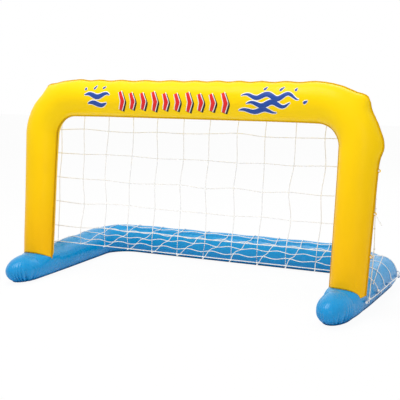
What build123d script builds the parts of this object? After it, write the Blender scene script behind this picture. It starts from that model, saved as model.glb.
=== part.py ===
from build123d import *
import os
from math import asin, atan2, cos, degrees, radians, sin, tan

# Inflatable water polo goal: a vinyl arch on a U-shaped floating base, with a knotted cord net.
# Millimetres. The origin is under the middle of the whole object, +X across the goal mouth,
# +Y from the front tips to the rear tube, +Z up.

os.makedirs("parts", exist_ok=True)

# Overall size
goal_height = 760
base_depth = 812
front_reach = 192

# Vinyl sheet and its weld seams
film = 0.8
lip = 4.5

# Arch: one tube bent into two posts and a crossbar, leaning back
post_spacing = 1271
foot_spacing = 1246
arch_half_width = 61
arch_half_depth = 53.5
foot_half_width = 56
foot_half_depth = 50
arch_corner_radius = 145
arch_lean = 7.4
arch_axis_start = 116
post_overrun = 56
panel_lip = 3

# Base: one tube bent into two arms and a rear tube, flattened where it lies
tip_spacing = 1240
rear_spacing = 1258
tube_half_width = 58
seam_height = 47
rear_crown_height = 116
tip_crown_height = 100
contact_half_width = 24
base_corner_radius = 135
tip_length = 110

# Net and its ropes
cord = 3.2
rope = 3.8
net_gap = 0.3
net_behind = 131.5
head_below = 93
net_half_width = 672
net_corner_radius = 150
rope_turn_height = 150
rope_end_height = 61
rope_end_behind = 18
first_gap = 84
column_pitch = 109
column_lean = 38
row_pitch = 97.4
floor_row_pitch = 99
floor_lean = 0.19
rope_knot = 4.6
side_rope_bend = 60

# Net tabs with a punched hole, and the cord loops tied through them
tab_thickness = 1
ear_reach = 15
ear_width = 12
ear_hole = 2.4
head_ear_count = 7
head_ear_pitch = 156
post_ear_count = 3
post_ear_first = 86
post_ear_pitch = 140
rim_tab_width = 22
rim_tab_hole = 1.7
rim_tab_margin = 7
rear_tab_count = 6
rear_tab_pitch = 182
arm_tab_count = 4
arm_tab_pitch = 130
loop_cord = 1.8
loop_radius = 5
lashing_knot = 3.2

# Loose end of the lashing on the right post
tail_cord = 2.4
tail_points = ((0, 0, 0), (8, -3, -8), (15, -2, -21), (22, 3, -34))

# Air valves
flange_radius = 20
flange_thickness = 0.8
valve_hole = 10.5
neck_radius = 6.5
neck_bore = 4
neck_length = 22
neck_inside = 5
collar_radius = 8.2
collar_thickness = 1.6
membrane_thickness = 0.8
membrane_clearance = 0.3
plug_clearance = 0.1
plug_depth = 9
plug_head_radius = 7
plug_head_thickness = 2.2
flap_radius = 4.8
flap_thickness = 0.8
flap_gap = 0.3
flap_tongue_width = 3
flap_tongue_reach = 6.2
strap_width = 3
strap_thickness = 1
strap_height = 10
valve_height = 300
base_valve_behind = 262
base_valve_slope = 25

# Places worked out from the sizes above
up = Vector(0, 0, 1)
across = Vector(1, 0, 0)
arch_up = Vector(0, sin(radians(arch_lean)), cos(radians(arch_lean)))
arch_ahead = Vector(0, -cos(radians(arch_lean)), sin(radians(arch_lean)))
rim_rope_reach = lip + loop_radius + loop_cord / 2 + 0.6
tab_reach = rim_rope_reach + rim_tab_margin / 2
rim_rope_height = seam_height + film + tab_thickness + net_gap + rope / 2
loop_height = seam_height + film + tab_thickness + net_gap / 2
rim_overhang = rim_rope_reach + loop_radius + loop_cord / 2 - lip
total_depth = base_depth + rim_overhang
tip_front = -total_depth / 2
goal_line = tip_front + front_reach
tip_axis = tip_front + lip + tip_length
rear_axis = tip_front + base_depth - lip - tube_half_width
bend_start = rear_axis - base_corner_radius
net_plane = goal_line + net_behind
crossbar_height = goal_height - arch_half_width - lip
head_height = goal_height - head_below
first_column = first_gap - net_half_width
crossbar_along = (crossbar_height - arch_axis_start) / cos(radians(arch_lean))


def arch_point(sideways, along, ahead=0):
    """Point given in the arch's leaning plane."""
    start = Vector(0, goal_line, arch_axis_start)
    return start + across * sideways + arch_up * along + arch_ahead * ahead


def post_x(along):
    """Distance of a post's axis from the middle, at a height along the post."""
    share = (along + post_overrun) / (crossbar_along + post_overrun)
    return foot_spacing / 2 + share * (post_spacing - foot_spacing) / 2


def post_share(along):
    """How far a place on a post is from its foot to the start of the corner, from 0 to 1."""
    return (along + post_overrun) / (crossbar_along - arch_corner_radius + post_overrun)


def arm_x(y):
    """Distance of an arm's axis from the middle."""
    share = (y - tip_axis) / (rear_axis - tip_axis)
    return tip_spacing / 2 + share * (rear_spacing - tip_spacing) / 2


def arm_crown(y):
    """Height of an arm's top line."""
    share = min(1, (y - tip_axis) / (bend_start - tip_axis))
    return tip_crown_height + share * (rear_crown_height - tip_crown_height)


arch_corners = (
    arch_point(-foot_spacing / 2, -post_overrun),
    arch_point(-post_spacing / 2, crossbar_along),
    arch_point(post_spacing / 2, crossbar_along),
    arch_point(foot_spacing / 2, -post_overrun),
)
base_corners = (
    Vector(-tip_spacing / 2, tip_axis, seam_height),
    Vector(-rear_spacing / 2, rear_axis, seam_height),
    Vector(rear_spacing / 2, rear_axis, seam_height),
    Vector(tip_spacing / 2, tip_axis, seam_height),
)
arm_turn = degrees(atan2((rear_spacing - tip_spacing) / 2, rear_axis - tip_axis))


def oval_edges(half_width, height):
    """Half an oval, closed along its seam line."""
    with BuildLine(mode=Mode.PRIVATE) as outline:
        arc = EllipticalCenterArc((0, 0), half_width, height, start_angle=0, arc_size=180)
        Line(arc @ 1, arc @ 0)
    return outline.edges()


def lip_edges(outer_start, outer_end, half_width):
    """Weld lips at both sides of a sheet, from its outer face round to its inner face."""
    inside = half_width - film
    with BuildLine(mode=Mode.PRIVATE) as outline:
        Polyline(outer_start, (half_width + lip, film), (half_width + lip, 0), (inside, 0))
        Polyline(outer_end, (-half_width - lip, film), (-half_width - lip, 0), (-inside, 0))
    return outline.edges()


def oval_sheet_edges(half_width, height):
    """One sheet over half an oval, with its weld lips."""
    start = degrees(asin(film / height))
    with BuildLine(mode=Mode.PRIVATE) as outline:
        outer = EllipticalCenterArc(
            (0, 0), half_width, height, start_angle=start, arc_size=180 - 2 * start
        )
        EllipticalCenterArc(
            (0, 0), half_width - film, height - film, start_angle=0, arc_size=180
        )
    return outline.edges() + lip_edges(outer @ 0, outer @ 1, half_width)


def floor_arcs(grow, start):
    """Flat contact strip and the two rounded flanks beside it."""
    flank = tube_half_width - contact_half_width + grow
    depth = seam_height + grow
    with BuildLine(mode=Mode.PRIVATE) as outline:
        first = EllipticalCenterArc(
            (contact_half_width, 0), flank, depth, start_angle=start, arc_size=90 - start
        )
        last = EllipticalCenterArc(
            (-contact_half_width, 0), flank, depth, start_angle=90, arc_size=90 - start
        )
        Line(first @ 1, last @ 0)
    return outline.edges(), first @ 0, last @ 1


def floor_edges(grow):
    """Lower half of the base tube, closed along its seam line."""
    edges, first, last = floor_arcs(grow, 0)
    return edges + [Edge.make_line(first, last)]


def floor_sheet_edges():
    """The base's bottom sheet, with its weld lips."""
    outer, first, last = floor_arcs(0, degrees(asin(film / seam_height)))
    inner = floor_arcs(-film, 0)[0]
    return outer + inner + lip_edges(first, last, tube_half_width)


def net_rim_edges(crown):
    """Net lying over the outer flank of the base tube, from its top line to the rim rope."""
    inner_x = tube_half_width + net_gap
    inner_y = crown - seam_height + net_gap
    low = film + tab_thickness + net_gap
    start = degrees(asin((low + cord) / (inner_y + cord)))
    end = degrees(asin(low / inner_y))
    with BuildLine(mode=Mode.PRIVATE) as outline:
        outer = EllipticalCenterArc(
            (0, 0), inner_x + cord, inner_y + cord, start_angle=start, arc_size=90 - start
        )
        inner = EllipticalCenterArc(
            (0, 0), inner_x, inner_y, start_angle=end, arc_size=90 - end
        )
        reach = tube_half_width + rim_rope_reach - rope / 2 - net_gap
        Polyline(outer @ 0, (reach, low + cord), (reach, low), inner @ 0)
        Line(outer @ 1, inner @ 1)
    return outline.edges()


def section(point, direction, side, edges):
    """Cross-section of a tube: square to its axis, with its local Y towards the given side."""
    frame = Plane(origin=point, x_dir=side.cross(direction), z_dir=direction)
    with BuildSketch(frame, mode=Mode.PRIVATE) as drawn:
        make_face(edges)
    return drawn.sketch.face()


def straight_leg(start, end, side, start_edges, end_edges):
    """Straight tapering tube between two cross-sections."""
    way = (end - start).normalized()
    first = section(start, way, side, start_edges)
    last = section(end, way, side, end_edges)
    with BuildPart(mode=Mode.PRIVATE) as leg:
        loft([first, last], ruled=True)
    return leg.part


def left_half(corners, radius, side, end_edges, middle_edges, cap=None):
    """Left half of a bent tube: its tapering leg with any cap, its corner and half its middle."""
    middle = (corners[1] + corners[2]) * 0.5
    with BuildLine(mode=Mode.PRIVATE) as route:
        FilletPolyline(corners[0], corners[1], middle, radius=radius)
    leg_run, corner_run, middle_run = route.wire().order_edges()
    turn = leg_run @ 1
    with BuildPart(mode=Mode.PRIVATE) as leg:
        add(straight_leg(leg_run @ 0, turn, side, end_edges, middle_edges))
        if cap is not None:
            add(cap)
    with BuildPart(mode=Mode.PRIVATE) as half:
        sweep(section(turn, leg_run % 1, side, middle_edges), path=Wire([corner_run, middle_run]))
        add(leg.part)
    return half.part


def tip_dome(edges, grow):
    """Rounded end of an arm: the section turned about its upright axis and drawn out forwards."""
    reach = tube_half_width + grow
    half = 4 * tube_half_width
    with BuildPart(mode=Mode.PRIVATE) as dome:
        with BuildSketch(Plane.XZ):
            make_face(edges)
            Rectangle(half, 2 * half, align=(Align.MAX, Align.CENTER), mode=Mode.SUBTRACT)
        revolve(axis=Axis.Z)
        scale(by=(1, (tip_length + grow) / reach, 1))
        split(bisect_by=Plane.XZ, keep=Keep.TOP)
    return dome.part


def tip_sheet(outer, inner, level):
    """One sheet over the rounded end of an arm, with its weld lip."""
    with BuildPart(mode=Mode.PRIVATE) as end:
        add(tip_dome(outer, 0))
        with BuildSketch(Plane.XY.offset(level)):
            Ellipse(tube_half_width + lip, tip_length + lip)
            with Locations((0, tip_length)):
                Rectangle(4 * tip_length, 2 * tip_length, mode=Mode.SUBTRACT)
        extrude(amount=film)
        add(tip_dome(inner, -film), mode=Mode.SUBTRACT)
    return end.part


def flipped(edges):
    """The same outline below its seam line."""
    return [edge.mirror(Plane.XZ) for edge in edges]


def arm_leg(grow):
    """Upper half of the left arm up to its bend, closed along its seam line."""
    with BuildLine(mode=Mode.PRIVATE) as route:
        FilletPolyline(*base_corners[:3], radius=base_corner_radius)
    run = route.wire().order_edges()[0]
    first = oval_edges(tube_half_width + grow, tip_height + grow)
    last = oval_edges(tube_half_width + grow, rear_height + grow)
    return straight_leg(run @ 0, run @ 1, up, first, last)


def post_leg(grow, side):
    """Front or back half of the left post up to its bend, closed along its seam line."""
    with BuildLine(mode=Mode.PRIVATE) as route:
        FilletPolyline(*arch_corners[:3], radius=arch_corner_radius)
    run = route.wire().order_edges()[0]
    first = oval_edges(foot_half_width + grow, foot_half_depth + grow)
    last = oval_edges(arch_half_width + grow, arch_half_depth + grow)
    return straight_leg(run @ 0, run @ 1, side, first, last)


def round_cord(points, radii, thickness):
    """Round cord along straight runs joined by tangent arcs."""
    with BuildPart(mode=Mode.PRIVATE) as tube:
        with BuildLine() as route:
            if radii:
                FilletPolyline(*points, radius=radii)
            else:
                Line(*points)
        with BuildSketch(Plane(origin=route.wire() @ 0, z_dir=route.wire() % 0)):
            Circle(thickness / 2)
        sweep(path=route.wire())
    return tube.part


def turned(seat, outline):
    """Piece turned about a seat's axis, from its radii and its distances outwards."""
    with BuildPart(mode=Mode.PRIVATE) as piece:
        with BuildSketch(Plane(origin=seat.origin, x_dir=seat.x_dir, z_dir=-seat.y_dir)):
            with BuildLine():
                Polyline(*outline, close=True)
            make_face()
        revolve(axis=Axis(seat.origin, seat.z_dir))
    return piece.part


def washer(seat, hole, radius, low, high):
    """Flat ring about a valve's axis."""
    return turned(seat, [(hole, low), (radius, low), (radius, high), (hole, high)])


def knot(centre, radius):
    """Knot, as a barrel of four slopes."""
    slope = radius * sin(radians(45))
    return turned(
        Plane(centre), [(0, -radius), (slope, -slope), (radius, 0), (slope, slope), (0, radius)]
    )


def cord_ring(seat, radius):
    """Closed loop of thin cord about a plane's normal, with a six-sided section."""
    turns = [radians(60 * count) for count in range(6)]
    thick = loop_cord / 2
    return turned(seat, [(radius + thick * cos(turn), thick * sin(turn)) for turn in turns])


def valve_bore(seat):
    """Hole in a sheet for a valve."""
    return washer(seat, 0, valve_hole, -valve_hole, valve_hole)


def strap_shape(seat):
    """Strap from the valve's neck up beside its collar and in to the plug's head."""
    top = neck_length - neck_inside + plug_clearance + plug_head_thickness
    outer = valve_hole - 3 * membrane_clearance
    inner = outer - strap_thickness
    head_edge = plug_head_radius + net_gap
    with BuildPart(mode=Mode.PRIVATE) as strap:
        with BuildSketch(Plane(origin=seat.origin, x_dir=seat.x_dir, z_dir=-seat.y_dir)):
            with BuildLine():
                Polyline(
                    (neck_radius, strap_height),
                    (outer, strap_height),
                    (outer, top),
                    (head_edge, top),
                    (head_edge, top - strap_thickness),
                    (inner, top - strap_thickness),
                    (inner, strap_height + strap_thickness),
                    (neck_radius, strap_height + strap_thickness),
                    close=True,
                )
            make_face()
        extrude(amount=strap_width / 2, both=True)
    return strap.part


def flap_shape(seat):
    """Check flap under the neck, with the tongue that it bends at."""
    level = -neck_inside - flap_gap
    with BuildPart(mode=Mode.PRIVATE) as flap:
        with BuildSketch(seat.offset(level)):
            Circle(flap_radius)
            Rectangle(flap_tongue_reach, flap_tongue_width, align=(Align.MIN, Align.CENTER))
        extrude(amount=-flap_thickness)
    return flap.part


def post_ear_frame(along):
    """Seam plane of the left post at a height along it, with local X out and local Z back."""
    origin = arch_point(-post_x(along), along)
    return Plane(origin=origin, x_dir=(-1, 0, 0), z_dir=-arch_ahead)


def post_ear_hole(along):
    """Distance of a post ear's hole from the post's axis."""
    half_width = foot_half_width + post_share(along) * (arch_half_width - foot_half_width)
    return half_width + (lip + ear_reach) / 2


def post_ear(along):
    """Ear welded behind the outer lip of the left post."""
    frame = post_ear_frame(along)
    hole = post_ear_hole(along)
    start = hole - (lip + ear_reach) / 2 + net_gap
    with BuildPart(mode=Mode.PRIVATE) as ear:
        with BuildSketch(frame.offset(film)):
            with Locations((start, 0)):
                Rectangle(ear_reach - ear_width / 2, ear_width, align=(Align.MIN, Align.CENTER))
            with Locations((start + ear_reach - ear_width / 2, 0)):
                Circle(ear_width / 2)
            with Locations((hole, 0)):
                Circle(ear_hole, mode=Mode.SUBTRACT)
        extrude(amount=tab_thickness)
    return ear.part


def lashing_start(along):
    """Middle of the knot in front of a post ear's hole."""
    return post_ear_frame(along).from_local_coords((post_ear_hole(along), 0, film - lashing_knot))


def post_lashing(along):
    """Cord from its knot at a post ear back to its loop round the border rope."""
    start = lashing_start(along)
    loop_middle = Vector(-net_half_width, net_plane, start.Z)
    loop_size = rope / 2 + net_gap + loop_cord / 2
    end = loop_middle + (start - loop_middle).normalized() * loop_size
    with BuildPart(mode=Mode.PRIVATE) as lashing:
        add(round_cord([start, end], None, loop_cord))
        add(knot(start, lashing_knot))
        add(cord_ring(Plane(loop_middle), loop_size))
    return lashing.part


def arm_frame(y):
    """Seam plane of the left arm at a distance behind, with its local X pointing out."""
    out = Vector(-cos(radians(arm_turn)), -sin(radians(arm_turn)), 0)
    return Plane(origin=(-arm_x(y), y, seam_height), x_dir=out, z_dir=up)


def rear_frame(x):
    """Seam plane of the rear tube, with its local X pointing out."""
    return Plane(origin=(x, rear_axis, seam_height), x_dir=(0, 1, 0), z_dir=up)


def rim_tab(frame):
    """Tab on the weld lip, with the hole that its loop goes through."""
    start = tube_half_width + net_gap
    length = tube_half_width + tab_reach - start
    with BuildPart(mode=Mode.PRIVATE) as tab:
        with BuildSketch(frame.offset(film)):
            with Locations((start + length / 2, 0)):
                Rectangle(length, rim_tab_width)
            with Locations((tube_half_width + rim_rope_reach - loop_radius, 0)):
                Circle(rim_tab_hole, mode=Mode.SUBTRACT)
        extrude(amount=tab_thickness)
    return tab.part


def rim_loop(frame):
    """Cord loop through a tab and round the rim rope."""
    centre = frame.from_local_coords((tube_half_width + rim_rope_reach, 0, loop_height - seam_height))
    return cord_ring(Plane(origin=centre, x_dir=frame.x_dir, z_dir=frame.y_dir), loop_radius)


tip_height = tip_crown_height - seam_height
rear_height = rear_crown_height - seam_height
first_tab_y = goal_line + rope_end_behind
first_tab_x = -rear_tab_pitch * (rear_tab_count - 1) / 2
arm_tab_frames = [arm_frame(first_tab_y + arm_tab_pitch * count) for count in range(arm_tab_count)]
rear_tab_frames = [rear_frame(first_tab_x + rear_tab_pitch * count) for count in range(rear_tab_count)]

# Valve seats, with their local Z pointing out of the tube
arch_valve_along = (valve_height - arch_axis_start) / cos(radians(arch_lean))
post_depth = foot_half_depth + post_share(arch_valve_along) * (arch_half_depth - foot_half_depth)
arch_seat = Plane(
    origin=arch_point(-post_x(arch_valve_along), arch_valve_along, -post_depth),
    x_dir=arch_up,
    z_dir=-arch_ahead,
)
base_valve_y = goal_line + base_valve_behind
arm_height = arm_crown(base_valve_y) - seam_height
base_valve_angle = atan2(tan(radians(base_valve_slope)) * arm_height, tube_half_width)
base_seat = Plane(
    origin=(
        arm_x(base_valve_y) - tube_half_width * cos(base_valve_angle),
        base_valve_y,
        seam_height + arm_height * sin(base_valve_angle),
    ),
    x_dir=(0, -1, 0),
    z_dir=(-cos(radians(base_valve_slope)), 0, sin(radians(base_valve_slope))),
)

# Arch sheets
foot_sheet = oval_sheet_edges(foot_half_width, foot_half_depth)
arch_sheet = oval_sheet_edges(arch_half_width, arch_half_depth)
arm_bed = arm_leg(film)

with BuildPart() as arch_front_sheet:
    add(left_half(arch_corners, arch_corner_radius, arch_ahead, foot_sheet, arch_sheet))
    add(arm_bed, mode=Mode.SUBTRACT)
    mirror(about=Plane.YZ)

with BuildPart() as arch_back_sheet:
    add(left_half(arch_corners, arch_corner_radius, -arch_ahead, foot_sheet, arch_sheet))
    add(arm_bed, mode=Mode.SUBTRACT)
    mirror(about=Plane.YZ)
    add(valve_bore(arch_seat), mode=Mode.SUBTRACT)

# Panels that close the feet of the posts and weld them to the arms
with BuildPart() as left_post_end_panel:
    add(post_leg(panel_lip, arch_ahead))
    add(post_leg(panel_lip, -arch_ahead))
    add(arm_bed, mode=Mode.INTERSECT)
    add(arm_leg(0), mode=Mode.SUBTRACT)

with BuildPart() as right_post_end_panel:
    add(left_post_end_panel.part.mirror(Plane.YZ))

# Base sheets
tip_sheet_edges = oval_sheet_edges(tube_half_width, tip_height)
rear_sheet_edges = oval_sheet_edges(tube_half_width, rear_height)
under_edges = floor_sheet_edges()

tip_cap = Location(base_corners[0], (0, 0, arm_turn))
top_cap = tip_cap * tip_sheet(
    oval_edges(tube_half_width, tip_height), oval_edges(tube_half_width - film, tip_height - film), 0
)
under_cap = tip_cap * tip_sheet(flipped(floor_edges(0)), flipped(floor_edges(-film)), -film)

with BuildPart() as base_top_sheet:
    add(left_half(base_corners, base_corner_radius, up, tip_sheet_edges, rear_sheet_edges, top_cap))
    mirror(about=Plane.YZ)
    add(valve_bore(base_seat), mode=Mode.SUBTRACT)

with BuildPart() as base_bottom_sheet:
    add(left_half(base_corners, base_corner_radius, -up, under_edges, under_edges, under_cap))
    mirror(about=Plane.YZ)

# Net: a back panel between the ropes, and a floor panel that lies over the arms and the rear tube
foot_rope_height = arm_crown(net_plane) + net_gap + rope / 2
panel_foot = foot_rope_height + rope / 2 + net_gap
panel_head = head_height - rope / 2 - net_gap
panel_half_width = net_half_width - rope / 2 - net_gap
panel_start = net_plane + rope / 2 + net_gap
floor_reach = total_depth / 2 - net_plane
floor_start = first_column - column_lean
floor_end = net_half_width + floor_lean * floor_reach
column_count = 1 + int((net_half_width - first_column) / column_pitch)
row_count = int((head_height - foot_rope_height) / row_pitch)
floor_column_count = 1 + int((floor_end - floor_start) / column_pitch)
floor_row_count = int((rear_axis - net_plane) / floor_row_pitch)

with BuildPart() as net_back_panel:
    with BuildSketch(Plane(origin=(0, net_plane, 0), x_dir=(1, 0, 0), z_dir=(0, -1, 0))) as mesh:
        for count in range(column_count):
            top = first_column + column_pitch * count
            with BuildLine():
                Polyline(
                    (top - cord / 2, head_height),
                    (top + cord / 2, head_height),
                    (top - column_lean + cord / 2, foot_rope_height),
                    (top - column_lean - cord / 2, foot_rope_height),
                    close=True,
                )
            make_face()
        for count in range(row_count):
            with Locations((0, head_height - row_pitch * (count + 1))):
                Rectangle(2 * net_half_width, cord)
        with BuildSketch(mode=Mode.INTERSECT):
            with BuildLine():
                Polyline(
                    (-panel_half_width, panel_foot),
                    (-panel_half_width, panel_head),
                    (panel_half_width, panel_head),
                    (panel_half_width, panel_foot),
                    close=True,
                )
            make_face()
            upper = vertices().group_by(Axis.Z)[-1]
            fillet(upper, net_corner_radius - rope / 2 - net_gap)
    extrude(amount=cord / 2, both=True)

with BuildPart(mode=Mode.PRIVATE) as floor_mesh:
    with BuildSketch():
        for count in range(floor_column_count):
            front = floor_start + column_pitch * count
            back = front - floor_lean * floor_reach
            with BuildLine():
                Polyline(
                    (front - cord / 2, net_plane),
                    (front + cord / 2, net_plane),
                    (back + cord / 2, net_plane + floor_reach),
                    (back - cord / 2, net_plane + floor_reach),
                    close=True,
                )
            make_face()
        for count in range(floor_row_count):
            with Locations((0, net_plane + floor_row_pitch * (count + 1))):
                Rectangle(2 * goal_height, cord)
    extrude(amount=2 * rear_crown_height)

with BuildPart() as net_floor_panel:
    with BuildSketch(Plane.YZ):
        with BuildLine():
            lower = Polyline(
                (panel_start, arm_crown(panel_start) + net_gap),
                (bend_start, rear_crown_height + net_gap),
                (rear_axis, rear_crown_height + net_gap),
            )
            offset(lower, amount=cord, side=Side.LEFT)
        make_face()
    extrude(amount=rear_spacing, both=True)
    with BuildSketch():
        with BuildLine():
            Polyline(
                (-arm_x(panel_start), panel_start),
                (arm_x(panel_start), panel_start),
                (arm_x(rear_axis), rear_axis),
                (-arm_x(rear_axis), rear_axis),
                close=True,
            )
        make_face()
        fillet(vertices().group_by(Axis.Y)[-1], base_corner_radius)
    extrude(amount=2 * rear_crown_height, mode=Mode.INTERSECT)
    add(floor_mesh.part, mode=Mode.INTERSECT)

with BuildPart() as net_rim_skirt:
    rim_start = net_rim_edges(tip_crown_height)
    rim_end = net_rim_edges(rear_crown_height)
    add(left_half(base_corners, base_corner_radius, up, rim_start, rim_end))
    mirror(about=Plane.YZ)
    add(floor_mesh.part, mode=Mode.INTERSECT)
    split(bisect_by=Plane(origin=(0, panel_start, 0), z_dir=(0, 1, 0)), keep=Keep.TOP)

# Ropes
side_x = arm_x(goal_line + rope_end_behind) + tube_half_width + rim_rope_reach
side_end = Vector(side_x, goal_line + rope_end_behind, rope_end_height)
side_turn = Vector(net_half_width, net_plane, rope_turn_height)
side_top = Vector(net_half_width, net_plane, head_height)

with BuildPart() as net_border_rope:
    left_side = [Vector(-point.X, point.Y, point.Z) for point in (side_end, side_turn, side_top)]
    side_bends = [side_rope_bend, net_corner_radius, net_corner_radius, side_rope_bend]
    add(round_cord(left_side + [side_top, side_turn, side_end], side_bends, rope))
    add(knot(left_side[0], rope_knot))
    add(knot(side_end, rope_knot))

with BuildPart() as foot_rope:
    crown_x = arm_x(net_plane)
    drop = tube_half_width + rim_rope_reach
    rise = foot_rope_height - seam_height
    knot_angle = degrees(asin((rope_end_height - seam_height) / rise))
    bend = 90 - knot_angle
    foot_plane = Plane(origin=(0, net_plane, seam_height), x_dir=(1, 0, 0), z_dir=(0, -1, 0))
    with BuildLine(foot_plane) as foot_route:
        EllipticalCenterArc((crown_x, 0), drop, rise, start_angle=knot_angle, arc_size=bend)
        Line((crown_x, rise), (-crown_x, rise))
        EllipticalCenterArc((-crown_x, 0), drop, rise, start_angle=90, arc_size=bend)
    with BuildSketch(Plane(origin=foot_route.wire() @ 0, z_dir=foot_route.wire() % 0)):
        Circle(rope / 2)
    sweep(path=foot_route.wire())
    add(knot(foot_route.wire() @ 0, rope_knot))
    add(knot(foot_route.wire() @ 1, rope_knot))

with BuildPart() as base_rim_rope:
    rim_reach = tube_half_width + rim_rope_reach
    corner_x = arm_x(rear_axis + rim_reach) + rim_reach
    rear_corner = Vector(corner_x, rear_axis + rim_reach, rim_rope_height)
    rim_end_y = goal_line + rope_end_behind - rim_tab_width / 2 - rope_knot - net_gap
    rim_end_point = Vector(arm_x(rim_end_y) + rim_reach, rim_end_y, rim_rope_height)
    left_rim = [Vector(-point.X, point.Y, point.Z) for point in (rim_end_point, rear_corner)]
    rim_radius = base_corner_radius + rim_reach
    add(round_cord(left_rim + [rear_corner, rim_end_point], [rim_radius, rim_radius], rope))
    add(knot(left_rim[0], rope_knot))
    add(knot(rim_end_point, rope_knot))

# Tabs and loops on the base
with BuildPart() as left_rim_tabs:
    for frame in arm_tab_frames:
        add(rim_tab(frame))

with BuildPart() as right_rim_tabs:
    add(left_rim_tabs.part.mirror(Plane.YZ))

with BuildPart() as rear_rim_tabs:
    for frame in rear_tab_frames:
        add(rim_tab(frame))

with BuildPart() as left_rim_loops:
    for frame in arm_tab_frames:
        add(rim_loop(frame))

with BuildPart() as right_rim_loops:
    add(left_rim_loops.part.mirror(Plane.YZ))

with BuildPart() as rear_rim_loops:
    for frame in rear_tab_frames:
        add(rim_loop(frame))

# Ears on the back of the crossbar, with the head rope through them
bar_frame = Plane(origin=arch_point(0, crossbar_along), x_dir=-arch_ahead, z_dir=(1, 0, 0))
rope_place = bar_frame.to_local_coords(Vector(0, net_plane, head_height))
with BuildPart() as crossbar_net_ears:
    for count in range(head_ear_count):
        sideways = head_ear_pitch * (count - (head_ear_count - 1) / 2)
        with BuildSketch(bar_frame.offset(sideways)):
            with Locations((0, rope_place.Y)):
                Rectangle(rope_place.X, ear_width, align=(Align.MIN, Align.CENTER))
            with Locations((rope_place.X, rope_place.Y)):
                Circle(ear_width / 2)
                Circle(ear_hole, mode=Mode.SUBTRACT)
            Ellipse(arch_half_depth, arch_half_width, mode=Mode.SUBTRACT)
        extrude(amount=tab_thickness / 2, both=True)

# Ears on the posts' outer seams, and the lashings that hold the border rope to them
post_ear_alongs = [post_ear_first + post_ear_pitch * count for count in range(post_ear_count)]

with BuildPart() as left_post_ears:
    for along in post_ear_alongs:
        add(post_ear(along))

with BuildPart() as right_post_ears:
    add(left_post_ears.part.mirror(Plane.YZ))

with BuildPart() as left_post_lashings:
    for along in post_ear_alongs:
        add(post_lashing(along))

with BuildPart() as right_post_lashings:
    add(left_post_lashings.part.mirror(Plane.YZ))

# Loose end of the middle lashing on the right post
tail_way = Vector(*tail_points[1]).normalized()
left_knot = lashing_start(post_ear_alongs[1])
tail_start = Vector(-left_knot.X, left_knot.Y, left_knot.Z) + tail_way * lashing_knot
tail_route = [tail_start + Vector(*point) for point in tail_points]
tail_runs = [end - start for start, end in zip(tail_route, tail_route[1:])]
tail_radii = [
    0.45 * min(one.length, other.length) / tan(radians(one.get_angle(other) / 2))
    for one, other in zip(tail_runs, tail_runs[1:])
]

with BuildPart() as right_lashing_tail:
    add(round_cord(tail_route, tail_radii, tail_cord))

# Air valves
neck_top = neck_length - neck_inside
plug_seat = neck_top + plug_clearance
plug_radius = neck_bore - plug_clearance
post_back = post_leg(0, -arch_ahead)
post_back_skin = post_leg(flange_thickness, -arch_ahead)
arm_top = arm_leg(0).mirror(Plane.YZ)
arm_top_skin = arm_leg(flange_thickness).mirror(Plane.YZ)

for name, seat, tube, tube_skin in (
    ("arch_valve", arch_seat, post_back, post_back_skin),
    ("base_valve", base_seat, arm_top, arm_top_skin),
):
    with BuildPart() as flange:
        add(washer(seat, valve_hole, flange_radius, -valve_hole, valve_hole))
        add(tube_skin, mode=Mode.INTERSECT)
        add(tube, mode=Mode.SUBTRACT)

    with BuildPart() as membrane:
        add(washer(seat, neck_radius, valve_hole - membrane_clearance, -membrane_thickness, 0))

    with BuildPart() as neck:
        add(washer(seat, neck_bore, neck_radius, -neck_inside, neck_top))
        add(washer(seat, neck_bore, collar_radius, neck_top - collar_thickness, neck_top))

    with BuildPart() as check_flap:
        add(flap_shape(seat))

    with BuildPart() as plug:
        add(washer(seat, 0, plug_radius, neck_top - plug_depth, plug_seat))
        add(washer(seat, 0, plug_head_radius, plug_seat, plug_seat + plug_head_thickness))

    with BuildPart() as strap:
        add(strap_shape(seat))

    valve_pieces = {
        "flange": flange,
        "membrane": membrane,
        "neck": neck,
        "check_flap": check_flap,
        "plug": plug,
        "strap": strap,
    }
    for ending, piece in valve_pieces.items():
        piece.part.label = f"{name}_{ending}"
        export_step(piece.part, f"parts/{name}_{ending}.step")

pieces = {
    "arch_front_sheet": arch_front_sheet,
    "arch_back_sheet": arch_back_sheet,
    "left_post_end_panel": left_post_end_panel,
    "right_post_end_panel": right_post_end_panel,
    "base_top_sheet": base_top_sheet,
    "base_bottom_sheet": base_bottom_sheet,
    "net_back_panel": net_back_panel,
    "net_floor_panel": net_floor_panel,
    "net_rim_skirt": net_rim_skirt,
    "net_border_rope": net_border_rope,
    "foot_rope": foot_rope,
    "base_rim_rope": base_rim_rope,
    "left_rim_tabs": left_rim_tabs,
    "right_rim_tabs": right_rim_tabs,
    "rear_rim_tabs": rear_rim_tabs,
    "left_rim_loops": left_rim_loops,
    "right_rim_loops": right_rim_loops,
    "rear_rim_loops": rear_rim_loops,
    "crossbar_net_ears": crossbar_net_ears,
    "left_post_ears": left_post_ears,
    "right_post_ears": right_post_ears,
    "left_post_lashings": left_post_lashings,
    "right_post_lashings": right_post_lashings,
    "right_lashing_tail": right_lashing_tail,
}
for name, piece in pieces.items():
    piece.part.label = name
    export_step(piece.part, f"parts/{name}.step")
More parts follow.
